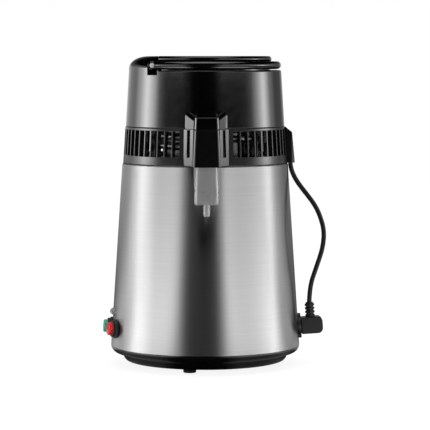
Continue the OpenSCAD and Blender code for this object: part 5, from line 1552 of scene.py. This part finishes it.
class DISTILLER_OT_controls(bpy.types.Operator):
    """Models the two push buttons with their housings and springs, and the pilot lamp."""

    bl_idname = "distiller.controls"
    bl_label = "Controls"

    def execute(self, context):
        """Spins each fitting about its own axis and sets it on the casing."""
        body = rounded([(0, -20), (9, -20), (9, 0), (11, 0, 0.4), (11, 3, 0.8), (9.5, 3), (9.5, 6, 0.7),
                        (7.6, 6, 0.4), (7.6, -3.5), (5.05, -3.5), (5.05, -8), (7, -8), (7, -18), (0, -18)])
        cap = [(0, -12), (5, -12), (5, -9.8), (6, -9.8), (6, -8.3), (5, -8.3), (5, -0.2), (7.5, -0.2)]
        cap += arc((6, 9), 1.5, 1.5, 0, 75, 6) + [(4, 10.72), (2, 10.86), (0, 10.9)]
        loops, loop_steps, radius, wire = 4, 16, 3.5, 0.35
        floor, low, high = -18, -17.55, -12.45
        helix = []
        for k in range(loops * loop_steps + 1):
            angle = 2 * math.pi * k / loop_steps
            rise = (high - low) * k / (loops * loop_steps)
            helix.append((radius * math.cos(angle), radius * math.sin(angle), low + rise))
        for key, turn in (("red", RED_TURN), ("green", GREEN_TURN)):
            seat = on_casing(turn, BUTTON_Z)
            housing = smoothed(turned(key.title() + "_switch", body, 64))
            dress(place(housing, seat), key + "_switch")
            button = smoothed(turned(key.title() + "_button", cap, 64))
            dress(place(button, seat), key + "_button")
            spring = smoothed(tube(key.title() + "_spring", helix, wire))
            dress(place(spring, seat), key + "_spring")
            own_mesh(spring)
        seat = on_casing(LAMP_TURN, LAMP_Z)
        holder = rounded([(0, -10), (4, -10), (4, 0), (5.2, 0), (5.2, 1.2, 0.5), (3.1, 1.2, 0.2), (3.1, -8),
                          (0, -8)], 3)
        dress(place(smoothed(turned("Lamp_holder", holder, 48)), seat), "lamp_holder")
        lens = [(0, -6), (3, -6), (3, 1.2)] + arc((0, 1.2), 4, 4, 0, 90, 10)[:-1] + [(0, 5.2)]
        dress(place(smoothed(turned("Pilot_lamp", lens, 48)), seat), "pilot_lamp")
        return {"FINISHED"}


class DISTILLER_OT_sockets(bpy.types.Operator):
    """Models the mains inlet at the back and the fan socket at the side."""

    bl_idname = "distiller.sockets"
    bl_label = "Inlet and fan socket"

    def execute(self, context):
        """Rounds the edges of the mouldings."""
        fine = context.scene.distiller_shape.fine_edge / MM
        dress(eased_copy("power_inlet", "Power_inlet", fine), "power_inlet")
        dress(eased_copy("fan_socket", "Fan_socket", fine), "fan_socket")
        dress(eased_copy("inlet_pins", "Inlet_pins", fine), "inlet_pins")
        return {"FINISHED"}


class DISTILLER_OT_condenser(bpy.types.Operator):
    """Models the condenser coil as one smooth tube from the steam port to the spout."""

    bl_idname = "distiller.condenser"
    bl_label = "Condenser coil"

    def execute(self, context):
        """Draws the coil's line and rounds it."""
        radius, bend, drop, pipe, loops = 58, 16, 10, 4.25, 2.5
        bend_steps, loop_steps = 10, 60
        top, bottom, lid, port = 286.85, 259.35, 240.3, 5.45
        end = 180 + math.degrees(math.acos(bend / (radius + bend)))
        start = end - 360 * loops
        lead = start - math.degrees(math.asin(bend / (radius - bend)))

        def ahead(angle):
            """Level direction at an angle."""
            return Vector((math.cos(math.radians(angle)), math.sin(math.radians(angle)), 0))

        up = Vector((0, 0, 1))
        way = ahead(lead)
        line = [lid * up, (lid + port) * up]
        turn_up = drop * way + (top - drop) * up
        line += [turn_up + drop * (math.cos(math.radians(a)) * way + math.sin(math.radians(a)) * up)
                 for a in range(180, 85, -10)]
        into = (radius - bend) * ahead(start) + top * up
        line += [into + bend * ahead(lead - 90 + (start - lead + 90) * k / bend_steps)
                 for k in range(bend_steps + 1)]
        rings = int(loop_steps * loops)
        line += [radius * ahead(start + (end - start) * k / rings) + (top + (bottom - top) * k / rings) * up
                 for k in range(1, rings + 1)]
        out = (radius + bend) * ahead(end) + bottom * up
        line += [out + bend * ahead((end - 180) * (1 - k / bend_steps)) for k in range(1, bend_steps + 1)]
        fall = Vector((0, drop - SPOUT_Y, bottom - drop))
        line += [fall + drop * Vector((0, math.cos(math.radians(a)), math.sin(math.radians(a))))
                 for a in range(90, 185, 10)]
        line.append(Vector((0, -SPOUT_Y, CUP_HIGH.z - 2)))
        dress(smoothed(tube("Condenser_coil", line, pipe, 6), 60), "condenser_coil")
        return {"FINISHED"}


class DISTILLER_OT_fasteners(bpy.types.Operator):
    """Models one screw with a cross recess and sets its copies."""

    bl_idname = "distiller.fasteners"
    bl_label = "Screws"

    def execute(self, context):
        """Copies the screw to each place that shows one."""
        shape = context.scene.distiller_shape
        flip = Matrix.Rotation(math.pi, 4, "X")
        feet = [spot @ moved(0, 0, FOOT_FLOOR) for spot in foot_places()]
        tray = [spot @ moved(0, 0, TRAY_SCREW_Z) for spot in tray_screw_places()]
        socket, inlet, eyes = [], [], []
        for side in (-1, 1):
            socket.append(on_casing(0, SOCKET_Z) @ moved(side * SOCKET_SCREW[0], 0, SOCKET_SCREW[1]) @ flip)
            inlet.append(on_casing(90, INLET_Z) @ moved(side * INLET_SCREW[0], 0, INLET_SCREW[1]) @ flip)
            eyes.append(eye_seat(side) @ moved(0, 0, EYE_SCREW_Z) @ flip)
        for node, places, reach, radius in (
                ("foot_screws", feet, 9, SCREW_R), ("base_screws", tray, 12.5, SCREW_R),
                ("socket_screws", socket, 9.5, SCREW_R), ("inlet_screws", inlet, 9, SCREW_R),
                ("handle_screws", eyes, 18, 2)):
            screws = repeated(self.screw(shape, reach, radius), places, node.capitalize())
            dress(smoothed(screws), node)
        return {"FINISHED"}

    def screw(self, shape, reach, radius):
        """Pan-headed screw along +Z, its head below the origin."""
        top, arm, tip = -SCREW_HEAD_H, 1.9, 0.8
        profile = [(0, top), (1.6, top + 0.08), (2.6, top + 0.4), (3.05, top + 0.8),
                   (SCREW_HEAD_R, top + 1.3), (SCREW_HEAD_R, 0), (radius, 0), (radius, reach - 1),
                   (radius - tip, reach), (0, reach)]
        screw = turned("Screw", profile, 32)
        wide, deep = shape.cross_w / MM / 2, shape.cross_depth / MM
        for x, y in ((arm, wide), (wide, arm)):
            combined(screw, block("Cross", (-x, -y, top - 1), (x, y, top + deep)), "DIFFERENCE")
        return screw


class DISTILLER_OT_works(bpy.types.Operator):
    """Models the fan's rotor and finishes the solids inside that stay as they are."""

    bl_idname = "distiller.works"
    bl_label = "Works"

    def execute(self, context):
        """Rounds the rotor's edges and coats the rest."""
        fine = context.scene.distiller_shape.fine_edge / MM
        dress(eased_copy("fan_rotor", "Fan_rotor", fine), "fan_rotor")
        coat("heat_spreader", "heating_element", "thermostat", "thermal_cutoff", "lid_plate", "lid_gasket",
             "steam_seal", "fan_motor", "motor_bearings", "fan_bracket", "bracket_screws", "fan_shaft",
             "head_screws", "switch_nuts", "air_guide")
        return {"FINISHED"}


STEPS = (
    DISTILLER_OT_stage, DISTILLER_OT_fan_lead, DISTILLER_OT_casing, DISTILLER_OT_base,
    DISTILLER_OT_vent_ring, DISTILLER_OT_spout_hood, DISTILLER_OT_dome, DISTILLER_OT_fan_guard,
    DISTILLER_OT_handle, DISTILLER_OT_spout, DISTILLER_OT_controls, DISTILLER_OT_sockets,
    DISTILLER_OT_condenser, DISTILLER_OT_fasteners, DISTILLER_OT_works,
)


class DISTILLER_PT_steps(bpy.types.Panel):
    """Lists the settings and the steps, in order."""

    bl_idname = "DISTILLER_PT_steps"
    bl_label = "Water distiller"
    bl_space_type = "VIEW_3D"
    bl_region_type = "UI"
    bl_category = "Distiller"

    def draw(self, context):
        """Draws the settings and one button for each step."""
        scene = context.scene
        for group in (scene.distiller_shape, scene.distiller_finish, scene.distiller_stage):
            for key in group.__annotations__:
                self.layout.prop(group, key)
        for step in STEPS:
            self.layout.operator(step.bl_idname)


CLASSES = (DistillerShape, DistillerFinish, DistillerStage, *STEPS, DISTILLER_PT_steps)


def register():
    """Adds the settings, the operators and the panel."""
    for item in CLASSES:
        bpy.utils.register_class(item)
    bpy.types.Scene.distiller_shape = bpy.props.PointerProperty(type=DistillerShape)
    bpy.types.Scene.distiller_finish = bpy.props.PointerProperty(type=DistillerFinish)
    bpy.types.Scene.distiller_stage = bpy.props.PointerProperty(type=DistillerStage)


def unregister():
    """Takes them away again."""
    del bpy.types.Scene.distiller_shape
    del bpy.types.Scene.distiller_finish
    del bpy.types.Scene.distiller_stage
    for item in reversed(CLASSES):
        bpy.utils.unregister_class(item)


def main():
    """Models every piece in order."""
    register()
    for step in STEPS:
        family, name = step.bl_idname.split(".")
        getattr(getattr(bpy.ops, family), name)()
    deselect()


if __name__ == "__main__":
    main()
